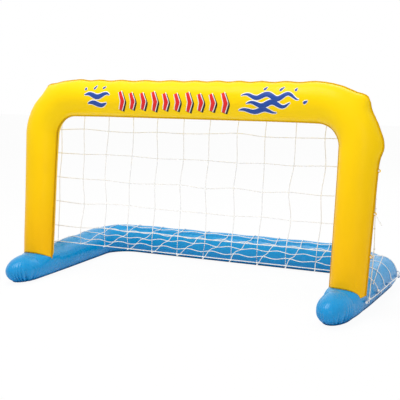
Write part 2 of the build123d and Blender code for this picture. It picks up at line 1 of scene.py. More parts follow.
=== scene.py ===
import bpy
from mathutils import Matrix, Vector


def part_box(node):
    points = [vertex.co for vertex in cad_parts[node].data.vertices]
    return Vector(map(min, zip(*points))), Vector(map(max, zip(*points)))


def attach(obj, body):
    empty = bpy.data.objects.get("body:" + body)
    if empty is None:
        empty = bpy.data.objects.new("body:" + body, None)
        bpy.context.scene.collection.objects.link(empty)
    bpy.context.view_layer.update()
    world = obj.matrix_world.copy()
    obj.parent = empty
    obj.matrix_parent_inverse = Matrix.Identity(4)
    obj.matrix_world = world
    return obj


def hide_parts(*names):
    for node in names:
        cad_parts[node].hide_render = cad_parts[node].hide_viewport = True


bl_info = {
    "name": "Inflatable pool goal",
    "version": (1, 0, 0),
    "blender": (4, 5, 0),
    "location": "View3D > Sidebar > Pool goal",
    "description": "Dresses the inflatable goal: vinyl sheets, print, knotted net, ropes and valves",
    "category": "Object",
}

from math import cos, pi, radians, sin, sqrt, tan

import bmesh
import bpy
import numpy as np
from bpy.props import FloatProperty, FloatVectorProperty, IntProperty, PointerProperty
from mathutils import Vector
from mathutils.bvhtree import BVHTree

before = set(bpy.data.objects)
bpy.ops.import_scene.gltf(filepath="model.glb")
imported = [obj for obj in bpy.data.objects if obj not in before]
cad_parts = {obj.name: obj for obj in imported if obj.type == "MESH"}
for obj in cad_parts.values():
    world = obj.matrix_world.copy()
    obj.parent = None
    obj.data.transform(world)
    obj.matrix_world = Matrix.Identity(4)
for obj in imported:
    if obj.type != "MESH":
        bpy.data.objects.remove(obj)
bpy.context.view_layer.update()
TIP_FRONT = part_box("base_bottom_sheet")[0][1]
BASE_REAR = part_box("base_bottom_sheet")[1][1]
GOAL_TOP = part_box("arch_front_sheet")[1][2]
NET_PLANE = sum(corner[1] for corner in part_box("net_back_panel")) / 2
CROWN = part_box("base_top_sheet")[1][2]
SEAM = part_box("base_top_sheet")[0][2]
VALVED = {"arch_back_sheet": "arch_valve_flange", "base_top_sheet": "base_valve_flange"}
UP = np.array([0, 0, 1.0])
GAP = 0.0003
SIDES = {"left": -1, "right": 1}
STRANDS = 3
CORD_TWIST, ROPE_TWIST, TIE_TWIST = (2 * pi / lay for lay in (0.012, 0.016, 0.008))
PUCKER_PITCH = 0.018
PUCKER_SEED = 0.7


def length(name, default, description):
    """A size in metres for the panel."""
    return FloatProperty(name=name, default=default, description=description, unit="LENGTH", precision=4)


def colour(name, default, description):
    """A colour for the panel."""
    return FloatVectorProperty(name=name, default=default, description=description, subtype="COLOR", size=4)


class GoalSizes(bpy.types.PropertyGroup):
    """Sizes of the dressed goal. The frame holds the solids that they follow."""

    goal_line: length("Goal line", TIP_FRONT + 0.192, "Place of the posts' feet behind the middle")
    film: length("Film", 0.0005, "Thickness of the vinyl")
    lip: length("Weld lip", 0.0045, "Width of the welded edge")
    post_spacing: length("Post spacing", 1.271, "Between the posts' axes at the crossbar")
    foot_spacing: length("Foot spacing", 1.246, "Between the posts' axes at the base")
    arch_half_width: length("Arch half width", 0.061, "Half the tube's width in the arch's plane")
    arch_half_depth: length("Arch half depth", 0.0535, "Half the tube's depth")
    foot_half_width: length("Foot half width", 0.056, "The same at the posts' feet")
    foot_half_depth: length("Foot half depth", 0.050, "The same at the posts' feet")
    arch_corner_radius: length("Arch corner radius", 0.145, "Radius of the axis in the corner")
    arch_axis_start: length("Axis start", 0.116, "Height where the posts' lean is measured from")
    post_overrun: length("Post overrun", 0.056, "How far the post's axis runs below that height")
    tip_spacing: length("Tip spacing", 1.240, "Between the arms' axes at the tips")
    rear_spacing: length("Rear spacing", 1.258, "Between the arms' axes at the rear")
    tube_half_width: length("Base half width", 0.058, "Half the base tube's width")
    tip_crown: length("Tip crown", 0.100, "Height of the base at the tips")
    contact_half_width: length("Contact half width", 0.018, "Half of the strip that the base lies on")
    base_corner_radius: length("Base corner radius", 0.135, "Radius of the axis in the corner")
    tip_length: length("Tip length", 0.110, "Length of an arm's rounded end")
    fullness: length("Fullness", 0.0032, "How far the arch's film stands out past the solids")
    press_spread: length("Press spread", 0.004, "How far an arm bulges to each side under a post")
    loop_radius: length("Loop radius", 0.005, "Radius of the cord loops round the rim rope")
    tie_cord: length("Tie cord", 0.0018, "Diameter of the loops' and lashings' cord")
    tail_cord: length("Tail cord", 0.0024, "Diameter of the loose end")
    arm_tab_pitch: length("Arm tab pitch", 0.130, "Between an arm's tabs")
    rear_tab_pitch: length("Rear tab pitch", 0.182, "Between the rear tabs")
    tab_reach: length("Tab reach", 0.0145, "How far a tab stands out from the film")
    tab_width: length("Tab width", 0.022, "Width of a tab")
    post_tie_first: length("Lowest lashing", 0.086, "Along a post from its axis' start")
    post_tie_pitch: length("Lashing pitch", 0.140, "Between a post's lashings")
    weld_height: length("Weld height", 0.006, "Height of the base's weld above the floor")
    rope_start: length("Rope start", 0.018, "Border rope's ends behind the goal line")
    rope_turn: length("Rope turn", 0.190, "Height where the side ropes slant forward to the feet")
    cord: length("Net cord", 0.0032, "Diameter of the net's cord")
    rope: length("Rope", 0.0038, "Diameter of the border ropes")
    head_height: length("Head rope", 0.667, "Height of the head rope")
    net_half_width: length("Net half width", 0.672, "Half the net's width between its side ropes")
    net_corner_radius: length("Net corner radius", 0.150, "Radius of the border rope's top corners")
    first_column: length("First column", -0.588, "Place of the leftmost net column at the head rope")
    column_pitch: length("Column pitch", 0.109, "Between net columns")
    column_lean: length("Column lean", 0.038, "How far the columns slant to the left at the foot")
    row_pitch: length("Row pitch", 0.0974, "Between net rows")
    floor_row_pitch: length("Floor row pitch", 0.099, "Between the floor net's rows")
    rim_reach: length("Rim rope reach", 0.011, "Rim rope's distance outside the base tube")
    lean: FloatProperty(name="Lean", default=radians(7.4), subtype="ANGLE", description="Lean of the arch")
    floor_lean: FloatProperty(name="Floor slant", default=0.19, description="Slant of the floor columns")
    columns: IntProperty(name="Columns", default=12, description="Net columns on the back panel")
    rows: IntProperty(name="Rows", default=5, description="Net rows on the back panel")
    floor_columns: IntProperty(name="Floor columns", default=14, description="Columns of the floor net")
    floor_rows: IntProperty(name="Floor rows", default=5, description="Rows of the floor net")


class GoalColours(bpy.types.PropertyGroup):
    """Colours of the dressed goal."""

    yellow: colour("Yellow vinyl", (0.98, 0.66, 0.0005, 1), "Arch film")
    blue: colour("Blue vinyl", (0.0, 0.30, 0.66, 1), "Base film")
    cord: colour("Cord", (0.97, 0.97, 0.97, 1), "Net cord and ropes")
    red: colour("Print red", (0.72, 0.01, 0.012, 1), "Red ink")
    ink_blue: colour("Print blue", (0.010, 0.06, 0.32, 1), "Blue ink")
    white: colour("Print white", (0.90, 0.90, 0.90, 1), "White ink")
    black: colour("Print black", (0.012, 0.010, 0.012, 1), "Black ink")
    valve: colour("Valve", (0.80, 0.83, 0.85, 1), "Clear soft vinyl of the valves")


def sizes():
    """The goal's sizes, as set in the panel."""
    return bpy.context.scene.goal_sizes


def colours():
    """The goal's colours, as set in the panel."""
    return bpy.context.scene.goal_colours


# Meshes from whole arrays


def grid_faces(rows, columns):
    """Quads of a grid of rows times columns points, counted row by row."""
    corner = np.arange((rows - 1) * columns).reshape(rows - 1, columns)[:, :-1]
    return np.stack([corner, corner + 1, corner + columns + 1, corner + columns], -1).reshape(-1, 4)


def mesh_piece(name, points, faces, material, uv=None, attribute=None):
    """Object with one mesh from points and faces, shaded smooth."""
    mesh = bpy.data.meshes.new(name)
    faces = faces if isinstance(faces, list) else faces.tolist()
    mesh.from_pydata(points.reshape(-1, 3).tolist(), [], faces)
    mesh.polygons.foreach_set("use_smooth", np.ones(len(faces), dtype=bool))
    if uv is not None:
        layer = mesh.uv_layers.new(name="run")
        loops = np.empty(len(mesh.loops), dtype=np.int32)
        mesh.loops.foreach_get("vertex_index", loops)
        layer.data.foreach_set("uv", uv.reshape(-1, 2)[loops].astype(np.float32).ravel())
    if attribute is not None:
        title, values = attribute
        layer = mesh.attributes.new(title, "FLOAT", "POINT")
        layer.data.foreach_set("value", values.astype(np.float32).ravel())
    mesh.materials.append(material)
    piece = bpy.data.objects.new(name, mesh)
    bpy.context.scene.collection.objects.link(piece)
    return piece


def dress(piece, slot, *nodes):
    """Puts a piece on the body that all soft parts are on, and hides the nodes it stands for. The slot is not
    used.
    """
    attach(piece, "root")
    if nodes:
        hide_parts(*nodes)
    return piece


def paint(nodes, look):
    """Gives solids of the frame a look, with their shape as it is."""
    for name in nodes:
        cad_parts[name].data.materials.clear()
        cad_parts[name].data.materials.append(look)


def weld(piece, distance=0.00005):
    """Merges doubles and turns every face outwards."""
    work = bmesh.new()
    work.from_mesh(piece.data)
    bmesh.ops.remove_doubles(work, verts=work.verts, dist=distance)
    bmesh.ops.recalc_face_normals(work, faces=work.faces)
    work.to_mesh(piece.data)
    work.free()


def seated(piece, sheet, flange):
    """Lays a film on the solid sheet round a valve, and opens it under the valve's flange."""
    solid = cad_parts[sheet]
    points = [solid.matrix_world @ vertex.co for vertex in solid.data.vertices]
    tree = BVHTree.FromPolygons(points, [face.vertices[:] for face in solid.data.polygons])
    low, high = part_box(flange)
    middle = (Vector(low) + Vector(high)) / 2
    work = bmesh.new()
    work.from_mesh(piece.data)
    reach, fade, opening = 0.050, 0.024, 0.0135
    for vertex in work.verts:
        away = (vertex.co - middle).length
        if away < reach:
            vertex.co = vertex.co.lerp(tree.find_nearest(vertex.co)[0], min(1, (reach - away) / fade))
    under = [face for face in work.faces if (face.calc_center_median() - middle).length < opening]
    bmesh.ops.delete(work, geom=under, context="FACES")
    work.to_mesh(piece.data)
    work.free()


def thicken(piece, thickness):
    """Gives a sheet its wall, inwards."""
    solid = piece.modifiers.new("wall", "SOLIDIFY")
    solid.thickness = thickness
    solid.offset = -1
    return piece


def unit(vectors):
    """The same directions, each of length 1."""
    return vectors / np.linalg.norm(vectors, axis=-1, keepdims=True)


# Routes and sections of the inflated tubes


def bent_route(start, corner, radius, step):
    """Centre line of a bent tube in its own plane: a straight leg, an arc of the given radius that is
    tangent to both runs, and the middle, then the same mirrored. Returns points, tangents and the
    length run so far."""
    start, corner = np.array(start), np.array(corner)
    leg = unit(corner - start)
    turn = np.arccos(leg[0])
    inward = np.array([leg[1], -leg[0]])
    leg_length = np.linalg.norm(corner - start) - radius * tan(turn / 2)
    bend_start = start + leg * leg_length
    centre = bend_start + inward * radius
    along = np.linspace(0, 1, max(2, int(leg_length / step)))[:, None] * leg_length
    leg_points = start + leg * along
    angle = np.linspace(0, turn, max(4, int(radius * turn / step)))[1:, None]
    arc_points = centre - inward * radius * np.cos(angle) + leg * radius * np.sin(angle)
    arc_way = leg * np.cos(angle) + inward * np.sin(angle)
    half_bar = -arc_points[-1][0]
    bar = np.linspace(0, 1, max(2, int(half_bar / step)))[1:, None]
    bar_points = arc_points[-1] + bar * np.array([half_bar, 0.0])
    points = np.vstack([leg_points, arc_points, bar_points])
    way = np.vstack([np.repeat(leg[None], len(leg_points), 0), arc_way, np.repeat([[1.0, 0.0]], len(bar), 0)])
    points = np.vstack([points, points[-2::-1] * [-1, 1]])
    way = np.vstack([way, way[-2::-1] * [1, -1]])
    run = np.concatenate([[0], np.cumsum(np.linalg.norm(np.diff(points, axis=0), axis=1))])
    return points, way, run


def whole(half):
    """A half section's columns and their mirror image beyond the middle column."""
    return np.concatenate([half, half[..., -2::-1]], -1)


def base_half(top, crown, press):
    """Half sections of the base tube, one row for each place along it, from the weld to the middle.
    Above the widest line it is an oval, that turns squarer where a post presses on it; below, a
    rounded flank and a flat strip. Returns the shares of the half width, and heights."""
    s = sizes()
    flat = s.contact_half_width / s.tube_half_width
    weld = np.arcsin(1 - s.weld_height / SEAM)
    if top:
        low = np.linspace(weld, 0, 12, endpoint=False)
        high = np.linspace(0, pi / 2, 22)
        power = 2 / (2 + 2.2 * press)[:, None]
        across = np.hstack([np.tile(flat + (1 - flat) * np.cos(low), (len(press), 1)), np.cos(high) ** power])
        across = across * (1 + s.press_spread / s.tube_half_width * press)[:, None]
        rise = (crown - 0.007 * press - SEAM)[:, None] * np.sin(high) ** power
        return across, SEAM + np.hstack([np.tile(-SEAM * np.sin(low), (len(press), 1)), rise])
    low = np.linspace(weld, pi / 2, 8)
    across = np.concatenate([flat + (1 - flat) * np.cos(low), flat * np.linspace(1, 0, 5)[1:]])
    height = np.concatenate([SEAM * (1 - np.sin(low)), np.zeros(4)])
    return np.tile(across, (len(press), 1)), np.tile(height, (len(press), 1))


def valleys(run, pitch, seed):
    """Uneven creases along a seam: up to 1 in valleys about a pitch apart, 0 on the ridges."""
    turns = run / pitch
    phase = turns + 0.31 * np.sin(0.83 * turns + seed) + 0.22 * np.sin(1.37 * turns + 2 * seed)
    strength = 0.6 + 0.4 * np.sin(0.59 * turns + 3 * seed)
    return strength * (1 - np.abs(np.sin(pi * phase)) ** 0.8)


def bump_at(run, place, width):
    """Smooth hump of height 1 about a place along the run."""
    return np.exp(-(((run - place) / width) ** 2))


def lipped(points, outward, lip, side, film):
    """Adds the three lines of a weld lip outside the first and the last column of a sheet."""
    reach = lip * np.array([1, 0.5, 0.1])[:, None]
    first = points[:, :1] + outward[:, None] * reach + side * film
    last = points[:, -1:] - outward[:, None] * reach[::-1] + side * film
    return np.concatenate([first, points, last], 1)


def arch_axes():
    """Unit vectors up the leaning arch and ahead of it."""
    lean = sizes().lean
    return np.array([0, sin(lean), cos(lean)]), np.array([0, -cos(lean), sin(lean)])


def crossbar_along():
    """Distance of the crossbar's axis up the leaning arch."""
    s = sizes()
    return (GOAL_TOP - 0.0004 - s.arch_half_width - s.lip - s.arch_axis_start) / cos(s.lean)


def tip_axis():
    """Place where an arm's rounded end begins."""
    return TIP_FRONT + sizes().lip + sizes().tip_length


def rear_axis():
    """Place of the rear tube's axis."""
    return BASE_REAR - sizes().lip - sizes().tube_half_width


def arm_axis(y):
    """Distance of an arm's axis from the middle."""
    s = sizes()
    tip, rear = tip_axis(), rear_axis()
    return s.tip_spacing / 2 + (y - tip) / (rear - tip) * (s.rear_spacing - s.tip_spacing) / 2


def crown_at(y):
    """Height of the base tube's top line."""
    s = sizes()
    tip, bend = tip_axis(), rear_axis() - s.base_corner_radius
    return s.tip_crown + np.clip((y - tip) / (bend - tip), 0, 1) ** 0.6 * (CROWN - s.tip_crown)


def toe_in(x, y):
    """How far an arm's front part lies to the left of its straight line, fading out behind."""
    share = np.clip((y - TIP_FRONT) / 0.36, 0, 1)
    return -np.where(x > 0, 0.012, 0.005) * (1 - share**2 * (3 - 2 * share))


def settled(points):
    """Places on the base as the film lies: its arms toed in, and the slack rear corner on the right
    drawn in and down."""
    s = sizes()
    corner = np.array([s.rear_spacing / 2, rear_axis()]) - s.base_corner_radius
    corner = corner + (s.base_corner_radius + s.tube_half_width) * sqrt(0.5)
    away = np.linalg.norm(points[..., :2] - corner, axis=-1)
    slack = np.exp(-((away / 0.095) ** 2))
    x = points[..., 0] + toe_in(points[..., 0], points[..., 1]) - 0.014 * slack
    y = points[..., 1] - 0.006 * slack
    return np.stack([x, y, points[..., 2] * (1 - 0.21 * slack)], -1)


def press_at(y):
    """How hard the post presses on an arm at a distance behind, from 0 to 1."""
    return np.clip(1 - ((y - sizes().goal_line + 0.004) / 0.068) ** 2, 0, 1) ** 1.5


def arm_top(x, y):
    """Height of an arm's upper surface above a place beside its axis."""
    s = sizes()
    power = 2 + 2.2 * press_at(y)
    half_width = s.tube_half_width + s.press_spread * press_at(y)
    across = np.clip(np.abs(np.abs(x - toe_in(x, y)) - arm_axis(y)) / half_width, 0, 0.985)
    return SEAM + (crown_at(y) - 0.007 * press_at(y) - SEAM) * (1 - across**power) ** (1 / power)


def arch_route():
    """The arch's centre line with its directions and lengths, as arrays."""
    s = sizes()
    corner = (-s.post_spacing / 2, crossbar_along())
    return bent_route((-s.foot_spacing / 2, -s.post_overrun), corner, s.arch_corner_radius, 0.006)


def arch_surface(run, angle, front, lift=0.0):
    """Places on half of the arch tube, for distances along its centre line and angles round its
    section, 0 at the outer seam and pi at the inner one: an oval carried along the line, with the
    pinched corners, puckers that fade away from both seams, and soft waves."""
    s = sizes()
    up, ahead = arch_axes()
    side = ahead if front else -ahead
    points, way, places = arch_route()
    total = places[-1]
    points = np.stack([np.interp(run, places, points[:, axis]) for axis in range(2)], -1)
    way = unit(np.stack([np.interp(run, places, way[:, axis]) for axis in range(2)], -1))
    start = np.array([0, s.goal_line, s.arch_axis_start])
    centre = start + points[..., :1] * np.array([1.0, 0, 0]) + points[..., 1:] * up
    outward = -way[..., 1:] * np.array([1.0, 0, 0]) + way[..., :1] * up
    leg = crossbar_along() - s.arch_corner_radius + s.post_overrun
    share = np.clip(np.minimum(run, total - run) / leg, 0, 1)
    half_width = s.foot_half_width + share * (s.arch_half_width - s.foot_half_width)
    half_depth = s.foot_half_depth + share * (s.arch_half_depth - s.foot_half_depth)
    across, height = np.cos(angle), np.sin(angle)
    turn = way[..., 0] * (1 - way[..., 0]) * 4 * (np.abs(way[..., 1]) > 0.02)
    bend = leg + s.arch_corner_radius * pi / 4
    pinches = (
        (0.018, total - bend - 0.002, 0.020),
        (0.011, total - leg - 0.006, 0.030),
        (0.015, bend + 0.030, 0.018),
        (0.003, leg + 0.06, 0.04),
    )
    pinch = sum(size * bump_at(run, place, width) for size, place, width in pinches)
    swell = 0.0017 * np.sin(run * 2 * pi / 0.093 + 1 + np.sin(run * 9)) * np.clip(way[..., 0], 0, 1)
    near = np.clip(across, 0, 1)
    fuller = s.fullness + 0.003 * (bump_at(run, bend, 0.15) + bump_at(run, total - bend, 0.15))
    wide = half_width + fuller + pinch * near**5 + swell * near**2
    body = centre + outward * (wide * across)[..., None] + side * ((half_depth + fuller) * height)[..., None]
    normal = unit(outward * (across / wide)[..., None] + side * (height / half_depth)[..., None])
    seed = 1.3 if front else 2.9
    outer_fade = np.exp(-angle * s.arch_half_width / 0.020)
    inner_fade = np.exp(-(pi - angle) * s.arch_half_width / 0.024)
    outer_fold = (0.0006 + 0.0030 * turn) * valleys(run, 0.021, seed) * outer_fade
    inner_fold = (0.0007 + 0.0038 * turn) * valleys(run, 0.015, seed + 1) * inner_fade
    wave = 0.0009 * np.sin(run * 2 * pi / 0.31 + 2.2 * across + seed) * (1 - across**2)
    ends = np.clip(np.minimum(run, total - run) / 0.03, 0, 1)
    return body + normal * (lift - (outer_fold + inner_fold + wave) * ends)[..., None], outward, side


def arch_sheet(name, front, material):
    """Half of the arch tube with its weld lips, its feet slid down the posts' lean until they meet the
    arms' tops."""
    s = sizes()
    up, _ = arch_axes()
    run = arch_route()[2]
    total = run[-1]
    angle = np.linspace(0.04, pi - 0.04, 45)
    body, outward, side = arch_surface(run[:, None] + 0 * angle, angle + 0 * run[:, None], front)
    sheet = lipped(body, outward[:, 0], s.lip, side, s.film)
    low = np.zeros((2, sheet.shape[1]))
    for _ in range(12):
        place = sheet[[0, -1]] + low[..., None] * up
        low += (arm_top(place[..., 0], place[..., 1]) + 0.0009 - place[..., 2]) / cos(s.lean)
    reach = np.clip(1 - np.minimum(run, total - run) / 0.10, 0, 1)[:, None]
    near_left = (np.arange(len(run)) < len(run) / 2)[:, None]
    sheet = sheet + (reach * np.where(near_left, low[:1], low[-1:]))[..., None] * up
    around = np.linspace(-1, 1, sheet.shape[1]) * pi / 2 * s.arch_half_width
    uv = np.stack(np.broadcast_arrays(run[:, None], around[None]), -1)
    weld_and_painted_shade = np.zeros(sheet.shape)[..., 0]
    weld_and_painted_shade[:, [0, 1, 2, -3, -2, -1]] = (1, 1, 0.6, 0.6, 1, 1)
    # Painted shade round the bottom of each post, where it stands on the arm.
    weld_and_painted_shade = np.maximum(weld_and_painted_shade, 0.5 * np.clip(1 - np.minimum(run, total - run) / 0.006, 0, 1)[:, None])
    piece = mesh_piece(name, sheet, grid_faces(*sheet.shape[:2]), material, uv, ("weld_and_painted_shade", weld_and_painted_shade))
    weld(piece)
    return thicken(piece, s.film)


def foot_lip(name, sign, material):
    """Panel in a post's foot with its narrow welded edge: an oval disc laid on the arm's top."""
    s = sizes()
    share = np.linspace(0, 1, 14)[:, None] ** 0.7
    angle = np.linspace(0, 2 * pi, 73)
    level = crown_at(s.goal_line) - 0.012
    middle = s.goal_line + (level - s.arch_axis_start) * tan(s.lean)
    edge = 0.003 + 0.0004 * np.sin(angle * 23)
    x = sign * s.foot_spacing / 2 + share * (s.foot_half_width + edge) * np.cos(angle)
    y = middle + share * (s.foot_half_depth + edge) * np.sin(angle)
    points = np.stack([x, y, arm_top(x, y) + 0.0007], -1)
    weld_and_painted_shade = np.clip((share - 0.9) * 10, 0, 1) * np.ones_like(angle)
    uv = np.stack(np.broadcast_arrays(angle * s.foot_half_width, share), -1)
    piece = mesh_piece(name, points, grid_faces(*points.shape[:2]), material, uv, ("weld_and_painted_shade", weld_and_painted_shade))
    weld(piece)
    return thicken(piece, s.film)


def base_line():
    """The base tube's centre line, with its directions and lengths."""
    s = sizes()
    tip, rear = (-s.tip_spacing / 2, tip_axis()), (-s.rear_spacing / 2, rear_axis())
    return bent_route(tip, rear, s.base_corner_radius, 0.005)


def tip_girth():
    """Length of the line round an arm's rounded end."""
    s = sizes()
    return pi * (s.tube_half_width + s.tip_length) / 2


def pucker_hold(far, top):
    """Share of a pucker's depth at a distance from the weld, which holds the film flat."""
    return 1 - 0.8 * np.exp(-far / 0.007) if top else 0.1


def base_tube(top):
    """The bent part of the base: the section carried along the centre line, with puckers near the tips
    and in the corners, and a pinched fold at one rear corner. Returns the grid of places, the lengths
    along and round it, and how dark each place is: its weld lips, and painted shade in the puckers'
    valleys and on the pinched fold."""
    s = sizes()
    points, way, run = base_line()
    outward = np.column_stack([-way[:, 1], way[:, 0], np.zeros(len(way))])
    crown = crown_at(points[:, 1])
    across, height = base_half(top, crown, press_at(points[:, 1]))
    drop = np.linalg.norm(np.diff(np.stack([across * s.tube_half_width, height], -1), axis=1), axis=-1)
    far = np.hstack([np.zeros((len(run), 1)), np.cumsum(drop, 1)])
    half = across.shape[1]
    across = np.hstack([across, -across[:, -2::-1]])
    height, far = whole(height), whole(far)
    flat_centre = np.column_stack([points, np.zeros(len(points))])
    body = flat_centre[:, None] + outward[:, None] * (s.tube_half_width * across)[..., None]
    body = body + UP * height[..., None]
    lift = (height - SEAM) / (crown - SEAM)[:, None] if top else (height - SEAM) / SEAM
    normal = unit(outward[:, None] * across[..., None] + UP * lift[..., None])
    total = run[-1]
    turn = way[:, 0] * (1 - way[:, 0]) * 4 * (np.abs(way[:, 1]) > 0.02)
    tip_fade = np.exp(-np.minimum(run, total - run) / 0.035)
    from_tip = np.where(run < total / 2, run, total - run)
    is_outer = np.arange(across.shape[1]) < half
    depth = (0.0003 + 0.0060 * tip_fade)[:, None] + np.where(is_outer, 0.0022, 0.0046) * turn[:, None]
    outer = valleys(from_tip, PUCKER_PITCH, PUCKER_SEED)
    inner = valleys(-from_tip - tip_girth(), PUCKER_PITCH, PUCKER_SEED)
    fold = np.where(is_outer, outer[:, None], inner[:, None])
    fade = np.exp(-((far / 0.034) ** 1.6))
    body = body - normal * (depth * fold * fade * pucker_hold(far, top))[..., None]
    sway = 0.0012 * np.sin(run * 2 * pi / 0.17 + PUCKER_SEED)[:, None] * np.clip(lift, 0, 1)
    body = body - normal * sway[..., None]
    leg = np.argmax(way[:, 0] > way[0, 0] + 0.01)
    knob = bump_at(run, total - run[leg] - s.base_corner_radius * pi / 4 + 0.01, 0.020)
    knob = knob[:, None] * np.exp(-(((height - 0.034) / 0.014) ** 2)) * is_outer
    body = body + outward[:, None] * (0.026 * knob)[..., None] if top else body
    sheet = lipped(body, outward, s.lip, UP if top else -UP, s.film)
    weld_and_painted_shade = np.zeros(sheet.shape[1])
    weld_and_painted_shade[[0, 1, 2, -3, -2, -1]] = (1, 1, 0.7, 0.7, 1, 1)
    around = np.linspace(-1, 1, sheet.shape[1]) * s.tube_half_width * pi / 2
    plan = np.stack(np.broadcast_arrays(run[:, None], around[None]), -1)
    # Painted shade in the puckers' valleys near the tips and in the corners, and on the pinched fold; the
    # weld lips keep their own darkening.
    shaded = 0.8 * np.clip(tip_fade + turn, 0, 1)[:, None] * fold * fade + 0.9 * knob
    shaded = np.hstack([shaded[:, :1]] * 3 + [shaded] + [shaded[:, -1:]] * 3)
    return sheet, plan, np.maximum(weld_and_painted_shade, shaded)


def base_dome(top, end, around):
    """An arm's rounded end: the half section turned about the tip's upright axis and drawn out
    forwards, with long puckers from the low weld. Returns what base_tube returns."""
    s = sizes()
    points, way, _ = base_line()
    out = np.array([-way[end][1], way[end][0], 0])
    ahead = np.append(way[end], 0) * (1 if end else -1)
    crown = crown_at(points[end][1])
    across, height = (part[0] for part in base_half(top, np.array([crown]), np.zeros(1)))
    drop = np.hypot(np.diff(across * s.tube_half_width), np.diff(height))
    far = np.concatenate([[0], np.cumsum(drop)])
    drawn = s.tip_length / s.tube_half_width
    angle = np.linspace(0, pi, 221)
    run = -tip_girth() * angle / pi
    spoke = out * np.cos(angle)[:, None] + ahead * drawn * np.sin(angle)[:, None]
    dome = np.append(points[end], 0) + spoke[:, None] * (s.tube_half_width * across)[None, :, None]
    dome = dome + UP * height[None, :, None]
    away = out * np.cos(angle)[:, None] + ahead / drawn * np.sin(angle)[:, None]
    tall = (height - SEAM) / (crown - SEAM if top else SEAM)
    normal = unit(away[:, None] * across[:, None] + UP * tall[None, :, None])
    deep = 0.0080 + 0.0030 * np.sin(angle)
    long = 0.042 + 0.008 * np.sin(angle)[:, None]
    fold = (deep * valleys(run, PUCKER_PITCH, PUCKER_SEED))[:, None] * np.exp(-((far[None] / long) ** 2.2))
    dome = dome - normal * (fold * pucker_hold(far, top))[..., None]
    weld_side = UP * (s.film if top else -s.film)
    edges = [dome[:, 0] + unit(spoke) * s.lip * part + weld_side for part in (1, 0.5, 0.1)]
    dome = np.concatenate([np.stack(edges, 1), dome], 1)
    # Weld lips, and painted shade in the puckers' valleys, darker where a valley is deeper.
    weld_and_painted_shade = np.hstack([np.ones((len(dome), 3)) * (1, 1, 0.7), 0.8 * fold / 0.011])
    plan = np.stack(np.broadcast_arrays(run[:, None], around[None, : dome.shape[1]]), -1)
    return dome, plan, weld_and_painted_shade


def base_sheet(name, top, material):
    """Half of the base in one sheet: the bent tube and its two rounded ends, laid as the film lies."""
    tube = base_tube(top)
    around = tube[1][0, :, 1]
    parts = [tube, base_dome(top, 0, around), base_dome(top, -1, around)]
    count, faces = 0, []
    for block, _, _ in parts:
        faces.append(grid_faces(*block.shape[:2]) + count)
        count += block.shape[0] * block.shape[1]
    points = settled(np.concatenate([block.reshape(-1, 3) for block, _, _ in parts]))
    plan = np.concatenate([block.reshape(-1, 2) for _, block, _ in parts])
    weld_and_painted_shade = np.concatenate([block.ravel() for _, _, block in parts])
    piece = mesh_piece(name, points, np.concatenate(faces), material, plan, ("weld_and_painted_shade", weld_and_painted_shade))
    weld(piece, 0.0004)
    return thicken(piece, sizes().film)


# Print: thin inks laid on the front of the crossbar

# Start and end along the bar, height and rise of each wave
WATER_WAVES = (
    (-0.410, -0.300, 0.006, 0.007),
    (-0.395, -0.312, -0.022, 0.006),
    (0.225, 0.435, 0.012, 0.009),
    (0.245, 0.405, -0.012, 0.008),
    (0.215, 0.355, -0.034, 0.006),
)
# Place along the bar, height, length and slant of each drop
WATER_DROPS = (
    (-0.372, 0.026, 0.020, 0.5),
    (-0.335, 0.030, 0.016, 0.9),
    (-0.405, 0.022, 0.013, -0.4),
    (0.305, 0.032, 0.018, 0.6),
    (0.362, 0.030, 0.021, 0.8),
    (0.418, 0.029, 0.014, 0.3),
    (0.450, -0.008, 0.018, 1.1),
)


def ribbon(curve, half_widths):
    """Flat strip along a curve of the print's plan, wider or narrower as its half widths say: five
    points across for each point of the curve."""
    way = unit(np.gradient(curve, axis=0))
    aside = np.stack([-way[:, 1], way[:, 0]], -1)
    across = half_widths[:, None] * np.array([-1.0, -0.5, 0, 0.5, 1.0])
    return curve[:, None] + aside[:, None] * across[..., None]


def arrowhead(middle, size, count=41):
    """Curve of a chevron that points to the right, with its two strokes."""
    step = np.linspace(-1, 1, count)
    return np.stack([middle + size * 0.42 * (1 - np.abs(step) ** 1.15), size * step], -1)


def swell_line(start, end, rise, waves, count=61):
    """Curve of a water wave from one place along the bar to another."""
    share = np.linspace(0, 1, count)
    height = rise * np.sin(2 * pi * waves * share) * (0.5 + share / 2)
    return np.stack([start + (end - start) * share, height], -1)


def drop_line(x, v, size, slant, count=21):
    """Short curve through a drop, from its round end to its point."""
    share = np.linspace(0, 1, count)[:, None]
    return np.array([x, v]) + share * size * np.array([[sin(slant), cos(slant)]])


def printed(name, strips, lift, material):
    """Lays flat strips on the crossbar's front: along the bar, and round its section."""
    s = sizes()
    total = arch_route()[2][-1]
    points, faces, count = [], [], 0
    for strip in strips:
        angle = pi / 2 - strip[..., 1] / ((s.arch_half_width + s.arch_half_depth) / 2)
        laid, _, _ = arch_surface(total / 2 + strip[..., 0], angle, True, lift)
        points.append(laid.reshape(-1, 3))
        faces.append(grid_faces(*strip.shape[:2]) + count)
        count += len(points[-1])
    points = np.concatenate(points)
    piece = mesh_piece(name, points, np.concatenate(faces), material, points[:, [0, 2]])
    solid = piece.modifiers.new("ink", "SOLIDIFY")
    solid.thickness = 0.00008
    solid.offset = 1
    return piece


# Cords


